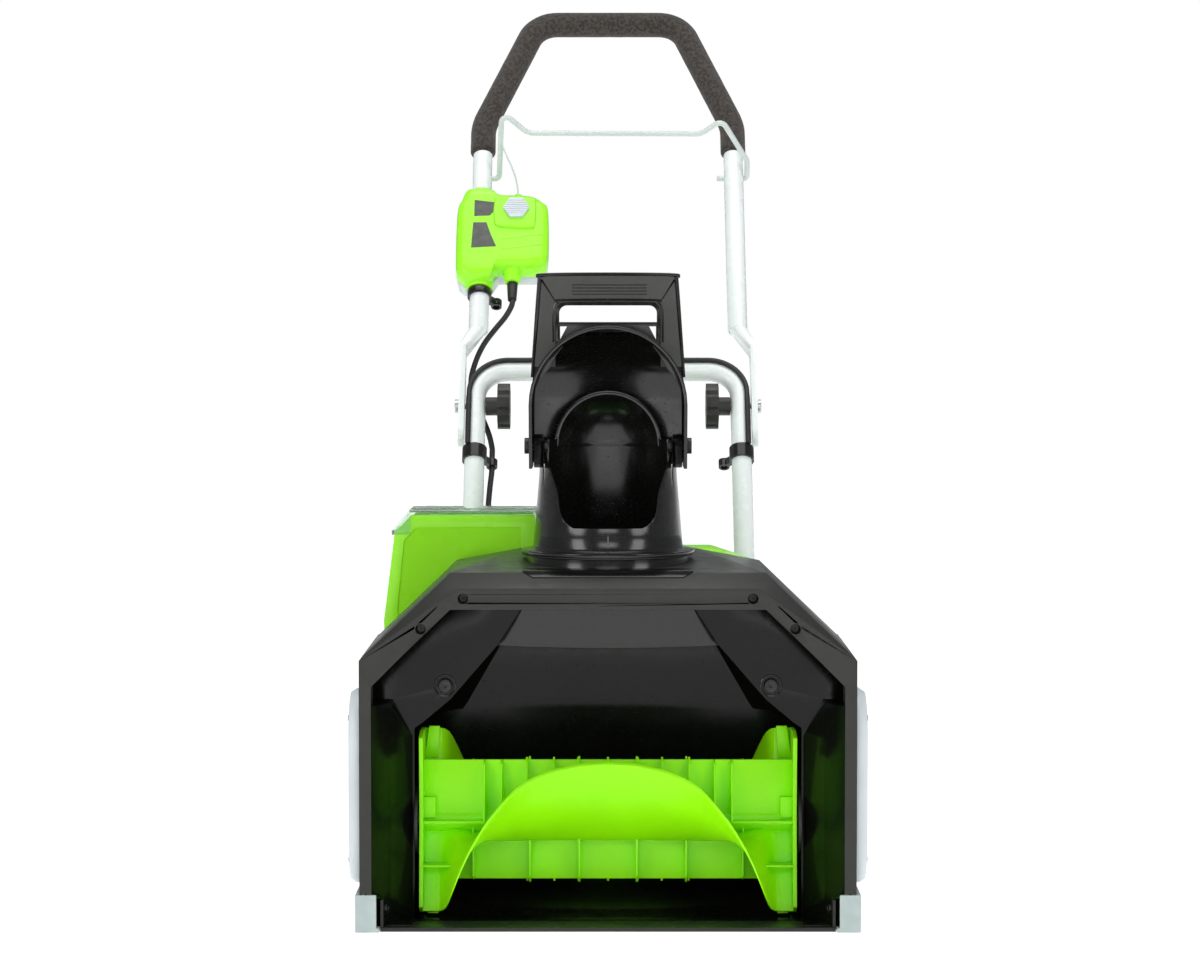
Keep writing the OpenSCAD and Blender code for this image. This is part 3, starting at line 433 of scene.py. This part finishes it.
def tube(path, radius, sides=20):
    """Round tube along points of the frame. radius is in mm, or a function of the share of the length."""
    step = [0.0]
    for a, b in zip(path, path[1:]):
        step.append(step[-1] + (b - a).length)
    side = None
    rings = []
    for i, p in enumerate(path):
        along = (path[min(i + 1, len(path) - 1)] - path[max(i - 1, 0)]).normalized()
        if side is None:
            side = along.orthogonal().normalized()
        side = (side - along * side.dot(along)).normalized()
        other = along.cross(side)
        r = (radius(step[i] / step[-1]) if callable(radius) else radius) * MM
        rings.append([p + side * a + other * b for a, b in circle(0, 0, r, sides)])
    return loft(rings)


def prism(outline, low, high, place):
    """Outline of two coordinates extruded along a third: place(a, b, level) gives a point of the frame."""
    return loft([[place(a, b, level) for a, b in outline] for level in (low, high)])


def cut_back(outline, d0, d1, place=at):
    """Outline of (x, z) points extruded from depth d0 to d1."""
    return prism(outline, d0, d1, lambda x, z, level: place(x, level, z))


def cut_across(outline, x0, x1, place=at):
    """Outline of (depth, z) points extruded from x0 to x1."""
    return prism(outline, x0, x1, lambda d, z, level: place(level, d, z))


def slab(x, d, z, place=at):
    """Box over a (low, high) span of x, of depth and of height."""
    return cut_back([(x[0], z[0]), (x[1], z[0]), (x[1], z[1]), (x[0], z[1])], d[0], d[1], place)


def merged(shapes):
    """One (verts, faces) shape from several."""
    verts, faces = [], []
    for more_verts, more_faces in shapes:
        faces += [tuple(i + len(verts) for i in face) for face in more_faces]
        verts += more_verts
    return verts, faces


def both(shape):
    """A shape and its mirror image on the machine's other side."""
    verts, faces = shape
    return [shape, ([Vector((-v.x, v.y, v.z)) for v in verts], [face[::-1] for face in faces])]


# ---------- curve helpers ----------


def clamp(value):
    return min(max(value, 0), 1)


def circle(a, b, radius, sides=48):
    return [(a + radius * math.cos(2 * math.pi * k / sides), b + radius * math.sin(2 * math.pi * k / sides))
            for k in range(sides)]


def arch(half):
    """Row of points over both sides, from those of the right side listed from its foot up."""
    return [(-x, *rest) for x, *rest in half] + half[::-1]


def spline(points, per_span):
    """Catmull-Rom curve through points."""
    points = [Vector(p) for p in points]
    line = []
    for i in range(len(points) - 1):
        a, b, c, d = points[max(i - 1, 0)], points[i], points[i + 1], points[min(i + 2, len(points) - 1)]
        for k in range(per_span):
            t = k / per_span
            line.append(0.5 * (2 * b + (c - a) * t + (2 * a - 5 * b + 4 * c - d) * t**2
                               + (3 * b - a - 3 * c + d) * t**3))
    return line + [points[-1]]


def flat_spline(points, per_span):
    """Curve through (x, y) points, as vectors with z 0."""
    return spline([(x, y, 0) for x, y in points], per_span)


def closed_spline(points, per_span):
    """Curve through (x, y) points and back to the first."""
    return flat_spline(points + points[:1], per_span)[:-1]


def bent(corners, arc_steps):
    """Flat path through (x, s, bend radius) corners."""
    path = [Vector(corner[:2]) for corner in corners]
    line = [path[0]]
    for i in range(1, len(path) - 1):
        radius = corners[i][2]
        u, v = (path[i] - path[i - 1]).normalized(), (path[i + 1] - path[i]).normalized()
        turn = math.atan2(u.x * v.y - u.y * v.x, u.dot(v))
        back = radius * math.tan(abs(turn) / 2)
        sign = 1 if turn > 0 else -1
        centre = path[i] - u * back + Vector((-u.y, u.x)) * sign * radius
        begin = math.atan2(-sign * u.x, sign * u.y)
        for k in range(arc_steps + 1):
            angle = begin + turn * k / arc_steps
            line.append(centre + Vector((math.cos(angle), math.sin(angle))) * radius)
    return line + [path[-1]]


def fill_in(line, spacing):
    """Extra points on a line's long straight spans."""
    out = [line[0]]
    for a, b in zip(line, line[1:]):
        count = max(1, round((b - a).length / spacing))
        out += [a.lerp(b, (k + 1) / count) for k in range(count)]
    return out


def between(table, x):
    """Value at x from a table of (x, value) pairs, along straight lines."""
    for (x0, v0), (x1, v1) in zip(table, table[1:]):
        if x <= x1:
            return v0 + (v1 - v0) * (x - x0) / (x1 - x0)
    return table[-1][1]


def hull_of(points):
    """Outline of the smallest convex shape round flat points."""
    points = sorted(set(points))

    def half(line):
        chain = []
        for p in line:
            while len(chain) > 1 and ((chain[-1][0] - chain[-2][0]) * (p[1] - chain[-2][1])
                                      - (chain[-1][1] - chain[-2][1]) * (p[0] - chain[-2][0])) <= 0:
                chain.pop()
            chain.append(p)
        return chain[:-1]

    return half(points) + half(points[::-1])


# ---------- the CAD nodes that stay ----------

# Rounding of each node's hard edges, in mm, where it isn't SMALL_EDGE_MM
EDGE_MM = {"outer_shell": 1.0, "front_bezel": 1.2, "auger_chamber": 1.0, "deflector_hood": 1.0, "chute": 0.8,
           "switch_box_front": 1.8, "switch_box_back": 1.2, "battery_box": 1.6, "rear_cover": 0.8,
           "skid_left": 0.8, "skid_right": 0.8, "auger": 0.7, "rear_tub": 1.5, "side_cover_left": 0.8,
           "side_cover_right": 0.8, "knob_left": 1.0, "knob_right": 1.0, "wheel_left": 0.8,
           "wheel_right": 0.8, "tyre_left": 0.5, "tyre_right": 0.5, "leg_brackets": 1.0, "battery_pack": 1.0}
SMALL_EDGE_MM = 0.3

# Nodes whose own finish isn't their slot's
FINISH = {"bezel_screws": "black_steel", "shoulder_screws": "black_steel", "scraper_screws": "black_steel",
          "scraper_bar": "black_shell", "outer_shell": "satin_skin", "auger_chamber": "deep_black"}


def finish_nodes():
    slot_of = {s["node"]: s["material_slot"] for s in frame["record"]["subparts"]}
    slot_of.update(FINISH)
    for name, obj in nodes.items():
        obj.data.materials.clear()
        obj.data.materials.append(materials[slot_of[name]])
        soften(obj, EDGE_MM.get(name, SMALL_EDGE_MM))


# ---------- handle ----------

# Half the hoop's width, and the heights of its grip bar and of the bends in its legs
TOP_X, BAR_S, BEND_S = 164, 616.5, 442
CORNER_X = TOP_X - math.tan(math.radians(21.5)) * (BAR_S - BEND_S)


def make_foam_grip():
    """Foam sleeve over the hoop's top, drawn in at its ends, with an uneven skin."""
    foot_s, length = 394, 640
    radius, drawn_in, end_span = 16.4, 3.6, 4
    corners = arch([(TOP_X, foot_s, 0), (TOP_X, BEND_S, 70), (CORNER_X, BAR_S, 40)])
    points = [on_handle(p.x, 0, p.y) for p in fill_in(bent(corners, arc_steps=12), spacing=5)]

    def sleeve_radius(share):
        from_end = min(share, 1 - share) * length
        return radius - drawn_in * max(0, 1 - from_end / end_span) ** 2

    verts, faces = tube(points, sleeve_radius, sides=32)
    # Each is the noise's scale and strength
    lumps, cells, drift = (55, 0.35), (210, 0.12), (90, 0.15)
    lift_mm = 0.3
    uneven = []
    for v in verts:
        push = noise.noise(v * lumps[0]) * lumps[1] + noise.noise(v * cells[0]) * cells[1]
        moved = v + noise.noise_vector(v * drift[0]) * drift[1] * MM
        uneven.append(moved + Vector((0, 0, push * lift_mm * MM)))
    grip = piece("foam_sleeve", (uneven, faces), "handle_top", "foam", 1.0, 3, ["foam_grip"])


def make_bail():
    """Bent wire in front of the hoop, held off from it at its rest angle."""
    rest_angle, pivot_s, radius = math.radians(65), 356.5, 3.5
    corners = [(-158, 0, 0), (-142, 0, 6), (-137, 97, 7), (-104, 66, 24), (121, 65, 24), (147, 85, 9),
               (181, 26, 12), (181, 0, 4.2), (142, 0, 0)]
    points = [on_handle(p.x, -p.y * math.sin(rest_angle), pivot_s + p.y * math.cos(rest_angle))
              for p in fill_in(bent(corners, arc_steps=10), spacing=12)]
    # Its colour is the tubes' white, darkened as painted shade
    piece("bail_wire", tube(points, radius, sides=16), "bail_bar", "white_tube", replaces=["bail"],
          look="white_wire_painted_shade")


def make_power_cable():
    """Cable from the switch box down to the housing, in an upper run and a lower run that rides on the chassis."""
    radius = 3.5
    upper = [(-122, 638.1, 695.8), (-122, 630.6, 685.1), (-130, 627, 670), (-144, 627, 653), (-158, 625, 634),
             (-168, 616, 612), (-173, 600, 588), (-168, 583, 563), (-156, 562, 540), (-148, 548, 521),
             (-144, 537.5, 505)]
    lower = [(-144, 536.8, 504), (-144, 531.2, 496), (-144, 524.9, 487), (-144, 518.6, 478), (-146, 506, 458),
             (-148, 492, 430), (-149, 476, 395), (-150, 460, 358), (-150, 446, 326), (-150, 436.5, 304),
             (-150, 434, 290), (-150, 434, 272)]
    shape = tube(spline([at(*p) for p in upper], 8), radius)
    cable = piece("power_cable_top", shape, None, "black_rubber", 0, replaces=["power_cable_upper"])
    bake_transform(cable)
    shape = tube(spline([at(*p) for p in lower], 6), radius)
    piece("power_cable_foot", shape, "chassis", "black_rubber", 0, replaces=["power_cable_lower"])


def make_bail_cable():
    """Thin pull wire from the switch box to the bail."""
    route = [(-117, -6, 300), (-117, -6, 330), (-121, -18, 348), (-131, -36, 364), (-136.5, -45, 373.5)]
    shape = tube(spline([on_handle(*p) for p in route], 8), 1.1, sides=10)
    # Its colour is the tubes' white, darkened as painted shade
    wire = piece("bail_pull_wire", shape, None, "white_tube", 0, replaces=["bail_cable"], look="white_wire_painted_shade")
    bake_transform(wire)


# ---------- auger ----------

AUGER_R = 103
# Angle of the front flight's rim, in degrees, at distances from the middle in mm
RIM_ANGLE = [(0, 45), (30, 43.6), (60, 39.2), (84, 33), (102, 25.6), (117, 16), (134, 4), (150, -11),
             (161, -25), (172, -45), (178, -62), (182, -71), (190, -72), (210, -72)]
# Half the flights' length. They end just inside the end plates.
FLIGHT_X = 205


def smooth_rim(x):
    """The rim's angle averaged over a short span, so that the blade has no kinks."""
    reach = 5
    return sum(between(RIM_ANGLE, abs(x + k)) for k in range(-reach, reach + 1)) / (2 * reach + 1)


def half_turned(shape, centre):
    """The shape turned half a turn about the auger's axis."""
    verts, faces = shape
    return [Vector((v.x, 2 * centre.y - v.y, 2 * centre.z - v.z)) for v in verts], faces


def flight(place):
    """One blade: a curved sheet from its thick rim down to its foot in front of the shaft.

    Towards its ends, as its rim turns down from full_deg to end_deg, the belly, the step below the rim and
    the offset of the foot all fade, and the sheet runs straight in to the shaft.
    """
    steps, across = 110, 9
    full_deg, end_deg = 13, -45
    middle_foot, end_foot = Vector((-5, -21)), 10
    belly_mm, step_mm = 9, 1.6
    rim_share, rim_half, sheet_half = 0.1, 2.6, 1.7
    step_start, step_span = 0.17, 0.06
    rings = []
    for i in range(steps + 1):
        x = -FLIGHT_X + 2 * FLIGHT_X * i / steps
        angle = math.radians(smooth_rim(x))
        rim = Vector((-math.cos(angle), math.sin(angle))) * AUGER_R
        share = clamp((math.degrees(angle) - end_deg) / (full_deg - end_deg))
        foot = middle_foot * share + rim.normalized() * end_foot * (1 - share)
        chord = (foot - rim).normalized()
        normal = Vector((-chord.y, chord.x))
        front, back = [], []
        for k in range(across + 1):
            t = k / across
            belly = 4 * t * (1 - t) * belly_mm * share
            step_in = step_mm * clamp((t - step_start) / step_span) * share
            half = rim_half if t < rim_share else sheet_half
            middle = rim.lerp(foot, t) - normal * (belly + step_in)
            front.append(middle + normal * half)
            back.append(middle - normal * half)
        rings.append([place(x, p.x, p.y) for p in front + back[::-1]])
    return loft(rings)


def flight_ribs(place):
    """Ribs between a blade and its web. Those near the middle stand 3 mm taller."""
    half_thick, middle_x = 1.2, 100
    ribs = []
    for positions, rib_tops, outline in (
            ((0, 33, 60, 90, 118, 137), (71, 68), [(-9, 0), (-30, 0), (-19, 64)]),
            ((32, 87, 150), (-71, -68), [(9, -2), (-12, -2), (-6, -64)])):
        foot_d = outline[0][0]
        shoulder_d = -12 if foot_d < 0 else 2
        for x in positions:
            top = rib_tops[0] if x < middle_x else rib_tops[1]
            rib = outline + [(shoulder_d, top), (foot_d, top)]
            ribs += [cut_across(rib, side * x - half_thick, side * x + half_thick, place)
                     for side in ((-1, 1) if x else (1,))]
    return ribs


def make_auger():
    low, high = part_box("auger")
    centre = (low + high) / 2

    def place(x, d, z):
        return centre + Vector((x, d, z)) * MM

    web = slab((-FLIGHT_X, FLIGHT_X), (-11, -7), (-3, 68), place)
    half_turn = [flight(place), web] + flight_ribs(place)
    # Braces between the blade's ends and the end plate
    for brace in (slab((138, FLIGHT_X), (-26, 4), (-1.5, 1.5), place),
                  slab((162, FLIGHT_X), (-38, -8), (-48, -45.5), place),
                  slab((191, FLIGHT_X), (-17, -9), (4, 27), place),
                  cut_back([(190, 66), (FLIGHT_X, 66), (200, 102), (188, 102)], 18, 21, place)):
        half_turn += both(brace)
    outline = [(-14, 101), (-36, 95), (-33, 60), (-30, 20), (-32, -20), (-36, -60), (-40, -92), (-24, -100)]
    outline += [(-d, -z) for d, z in outline]
    end_plate = cut_across(outline, 204, 208.6, place)
    hub = tube([place(x, 0, 0) for x in range(-206, 207, 4)], 13.5, sides=32)
    shapes = half_turn + [half_turned(shape, centre) for shape in half_turn] + both(end_plate) + [hub]
    piece("auger_moulding", merged(shapes), "auger_rotor", "auger_green", 0.7, replaces=["auger"])


# ---------- housing details ----------


def make_blank_plate():
    """Blank gloss plate on the top skin, in front of the chute."""
    above, below = 0.9, 2
    outline = [(-82, 19, 385.2), (-93, 30, 390.5), (-93, 54, 392.2), (93, 54, 392.2), (93, 30, 390.5),
               (82, 19, 385.2)]
    verts = [at(x, d, z + lift) for lift in (above, -below) for x, d, z in outline]
    faces = [(0, 1, 4, 5), (1, 2, 3, 4), (11, 10, 7, 6), (10, 9, 8, 7)]
    faces += [(i, i + 6, (i + 1) % 6 + 6, (i + 1) % 6) for i in range(6)]
    piece("blank_plate", (verts, faces), "chassis", "gloss_black", 0.4, look="deep_black")


def make_chute_collar():
    """Collar that closes the gap under the chute's turning ring."""
    chute_d = 150
    profile = ((84, 403.6), (90.5, 403.6), (91, 400), (91.5, 392), (93, 388), (84, 388))
    rings = [[at(x, d, z) for x, d in circle(0, chute_d, radius, sides=96)] for radius, z in profile]
    piece("chute_collar", loft(rings + rings[:1], closed_ends=False), "chassis", "gloss_black", 0.5)


def make_side_floor():
    """Floor of the housing beside the auger."""
    floors = both(slab((213, 244), (14, 72), (4.2, 6)))
    piece("side_floor", merged(floors), "chassis", "gloss_black", 0.3, look="deep_black")


def make_screw_rings():
    """Moulded rings round the shoulder screws."""
    rings = []
    for side in (-1, 1):
        line = [at(x, 69.8, z) for x, z in circle(side * 180, 262, 11.5)]
        rings.append(tube(line + line[:1], 0.9, sides=8))
    piece("screw_rings", merged(rings), "chassis", "gloss_black", 0)


def screw_head(side, face_x, d, z):
    """Domed screw head on a side face. Its profile is (share of the radius, height above the face)."""
    radius = 4.2
    profile = ((1, -0.5), (1, 1.0), (0.9, 1.7), (0.6, 2.2), (0.3, 2.3))
    return loft([[at(side * (face_x + height), a, b) for a, b in circle(d, z, radius * share, sides=24)]
                 for share, height in profile])


def make_side_trim():
    """Raised beads, ribs and screws on each pale side cover. The right cover reaches further back."""
    face_x, bead_x = 282.5, 282.7
    for word, side, tail_d in (("right", 1, 300), ("left", -1, 160)):
        lines = []
        for inset in (13, 17):
            points = []
            for d, z, radius in ((64, 97, 48), (64, 208, 48), (tail_d, 200, 41), (tail_d, 120, 41)):
                points += circle(d, z, radius - inset)
            outline = hull_of(points)
            lines.append(tube([at(side * bead_x, d, z) for d, z in outline + outline[:1]], 0.9, sides=8))
        for z in (128, 144, 160, 176):
            rib = [at(side * bead_x, d, z) for d in (58, 64, tail_d - 8, tail_d - 2)]
            lines.append(tube(rib, 1.3, sides=10))
        heads = [screw_head(side, face_x, d, z)
                 for d, z in ((38, 75), (38, 230), (tail_d + 20, 215), (tail_d + 20, 105))]
        piece(f"cover_beads_{word}", merged(lines), "chassis", "grey_plastic", 0)
        piece(f"cover_screws_{word}", merged(heads), "chassis", "steel", 0.2, 1, look="black_steel")


def make_rear_trim():
    """Lips, ribs and a lined blank plate on the rear body's back, and ribs on its sides."""
    back_d = 454
    shapes = [slab((-180.5, 180.5), (back_d, 457.5), (262, 272)),
              slab((-150, 150), (back_d, 457), (136, 142))]
    shapes += [slab((x - 2, x + 2), (back_d, 457.5), (136, 263)) for x in (-150, -120, -90, 90, 120, 150)]
    plate = [(-70, 158), (-62, 150), (62, 150), (70, 158), (70, 242), (62, 250), (-62, 250), (-70, 242)]
    shapes.append(cut_back(plate, back_d, 456.6))
    shapes += [slab((-52, 52), (456, 458.2), (168 + 13 * k, 173 + 13 * k)) for k in range(6)]
    for span in ((-182, -179), (179, 182)):
        shapes += [slab(span, (362, 448), (z, z + 5)) for z in (150, 176, 202, 228)]
    piece("rear_body_trim", merged(shapes), "chassis", "black_shell", 0.8)


def make_deck_treads():
    """Row of raised strips on the rear body's deck."""
    width, pitch = 12, 26
    starts = [-118 + pitch * k for k in range(10)]
    strips = [slab((x, x + width), (425, 447), (275.4, 277.6)) for x in starts]
    piece("deck_treads", merged(strips), "chassis", "black_shell")


def make_rear_screws():
    """Screws that hold the rear body to the housing."""
    heads = [screw_head(side, 179.8, 340, z) for side in (-1, 1) for z in (104, 250)]
    piece("rear_body_screws", merged(heads), "chassis", "steel", 0.2, 1, look="black_steel")


def make_throat():
    """Front wall of the inlet: a bowed sheet that hangs from the top of the chamber and widens downwards."""
    columns, rows, thick = 32, 8, 2.6
    top_z, low_z, sag = 352, 305, 2.5
    half_width, flare_z, flare = 93.5, 350, 0.651
    front_d, slope, bow = 57, 17, 13
    rings = []
    for i in range(columns + 1):
        u = -1 + 2 * i / columns
        bottom = low_z - sag * (1 - u * u)
        ring = []
        for back, order in ((0, range(rows + 1)), (thick, range(rows, -1, -1))):
            for k in order:
                drop = k / rows
                z = top_z + (bottom - top_z) * drop
                half = half_width + (flare_z - z) * flare
                ring.append(at(half * u, front_d + slope * drop + bow * u * u + back, z))
        rings.append(ring)
    piece("inlet_front", loft(rings), "chassis", "gloss_black")


# ---------- chute and deflector details ----------


def make_grip_trim():
    """Beads round the deflector's grip and its window, and the fine lines between their tops."""
    bead_d = 203.4
    shapes = [slab((-41, 44), (202.0, 204), (z - 0.7, z + 0.7)) for z in (694.7, 698.3, 701.8, 705.3)]
    for half, radius in (([(86.2, 600), (79.2, 700), (77, 712), (68, 717)], 2.1),
                         ([(62.5, 640), (62, 672), (59, 684), (50, 688)], 1.9)):
        shapes.append(tube(spline([at(x, bead_d, z) for x, z in arch(half)], 8), radius, sides=10))
    piece("grip_trim", merged(shapes), "deflector", "gloss_black", 0)


def make_grip_face():
    """Textured face of the grip, round its window."""
    front_d, back_d = 202.2, 203.2
    outer = flat_spline(arch([(84, 612), (79, 668), (76.5, 700), (74, 710), (66, 714.5)]), 6)
    inner = flat_spline(arch([(60, 612), (60, 640), (60, 672), (57, 682), (50, 686)]), 6)
    rings = [[at(o.x, back_d, o.y), at(o.x, front_d, o.y), at(i.x, front_d, i.y), at(i.x, back_d, i.y)]
             for o, i in zip(outer, inner)]
    piece("grip_face", loft(rings), "deflector", "black_shell", 0.2, 1, look="satin_skin")


def make_hood_ribs():
    """Ribs that stiffen the hood inside, each deepest at its middle."""
    radius, axis_z, depth, fade, thick = 84, 571, 7, 5, 2.2
    steps = 8
    ribs = []
    for d in (128, 164):
        for start, stop in ((12, 52), (128, 168)):
            outer, inner = [], []
            for k in range(steps + 1):
                t = math.radians(start + (stop - start) * k / steps)
                inside = radius - depth + fade * abs(2 * k / steps - 1)
                outer.append((radius * math.cos(t), axis_z + radius * math.sin(t)))
                inner.append((inside * math.cos(t), axis_z + inside * math.sin(t)))
            ribs.append(cut_back(outer + inner[::-1], d, d + thick))
    piece("hood_ribs", merged(ribs), "deflector", "gloss_black", 0.3)


def make_mould_line():
    """Mould line down the front of the chute's foot."""
    chute_d = 150
    line = [at(0, chute_d - radius, z) for radius, z in ((84.2, 414), (82.9, 422), (81.6, 430), (81.1, 433))]
    piece("chute_mould_line", tube(line, 0.9, sides=8), "chute_tube", "gloss_black", 0)


# ---------- switch box ----------


def switch_shell():
    """Front half of the box: its outline drawn in over a rounded edge to a flat face."""
    outline = [(-183, 183), (-191, 191), (-194.5, 206), (-194.5, 288), (-189, 308), (-184, 322), (-176, 326),
               (-152, 325), (-142, 317), (-124, 315), (-98, 313), (-84, 304), (-77, 289), (-77, 214),
               (-86, 201), (-104, 198), (-140, 198), (-147, 190), (-152, 182), (-168, 180)]
    middle_x, middle_s, half_x, half_s = -136, 253, 59, 72
    # Each ring is (y, inset)
    edge = ((-0.2, 0), (-13, 0), (-18, 0.8), (-21.5, 2.6), (-24, 5.6), (-25.4, 9.5), (-26.0, 15), (-26.2, 26))
    return loft([[on_handle(middle_x + (p.x - middle_x) * (1 - inset / half_x), y,
                            middle_s + (p.y - middle_s) * (1 - inset / half_s))
                  for p in closed_spline(outline, 5)] for y, inset in edge])


def switch_sockets():
    """Collars round the leg, and the sockets of the power cable and of the bail's pull wire."""
    collar = [(13.2, 0), (16.4, 0), (17.2, 1.2), (17.4, 6), (17.4, 12)]
    low_s, high_s = 177, 330
    # x and y of each round part's axis, and its profile of (radius, s)
    turned = ((-TOP_X, 0, [(radius, low_s + s) for radius, s in collar]),
              (-TOP_X, 0, [(radius, high_s - s) for radius, s in collar]),
              (-122, -8, [(4.2, 183), (8.6, 183), (10, 185), (11.2, 192), (12.5, 200), (13.5, 208)]),
              (-117, -6, [(8.8, 306), (8.8, 316), (8, 320), (6, 322.5), (2.2, 323)]))
    return [loft([[on_handle(a, b, s) for a, b in circle(x, y, radius, sides=32)] for radius, s in profile])
            for x, y, profile in turned]


def switch_pad():
    """Raised pad round the start button, drawn in at its front edge."""
    outline = [(-146, 263), (-147, 290), (-140, 306), (-98, 303), (-93, 296), (-94, 262), (-101, 256),
               (-138, 258)]
    middle_x, middle_s = -120, 281
    return loft([[on_handle(middle_x + (p.x - middle_x) * grow, y, middle_s + (p.y - middle_s) * grow)
                  for p in closed_spline(outline, 5)]
                 for y, grow in ((-24, 1.03), (-27.6, 1.0), (-28.8, 0.96), (-29, 0.9))])


def switch_ridges():
    """Two slanting ridges below the pad."""
    face_y, steps = -25.4, 12
    ridges = []
    for low_s in (240, 224):
        left, right = on_handle(-136, face_y, low_s), on_handle(-84, face_y, low_s + 8)
        ridges.append(tube([left.lerp(right, k / steps) for k in range(steps + 1)], 1.5, sides=10))
    return ridges


def make_switch_cover():
    shapes = [switch_shell()] + switch_sockets() + [switch_pad()] + switch_ridges()
    piece("switch_cover", merged(shapes), "handle_top", "cover_green", 0.5, replaces=["switch_box_front"])


def make_blank_labels():
    """Two labels on the box's face, with nothing printed on them."""
    for name, outline in (("upper", [(-172, 276), (-172, 302), (-138, 297), (-152, 277)]),
                          ("lower", [(-175, 226), (-173, 266), (-156, 266), (-150, 246), (-143, 228)])):
        shape = prism(outline, -26.6, -25.6, lambda x, s, level: on_handle(x, level, s))
        piece(f"blank_label_{name}", shape, "handle_top", "dark_plastic", 0.2, 1, look="blank_label")


# ---------- the scene ----------

make_camera()
make_studio()
finish_nodes()
make_foam_grip()
make_bail()
make_power_cable()
make_bail_cable()
make_auger()
make_blank_plate()
make_chute_collar()
make_side_floor()
make_screw_rings()
make_side_trim()
make_rear_trim()
make_deck_treads()
make_rear_screws()
make_throat()
make_grip_trim()
make_grip_face()
make_hood_ribs()
make_mould_line()
make_switch_cover()
make_blank_labels()
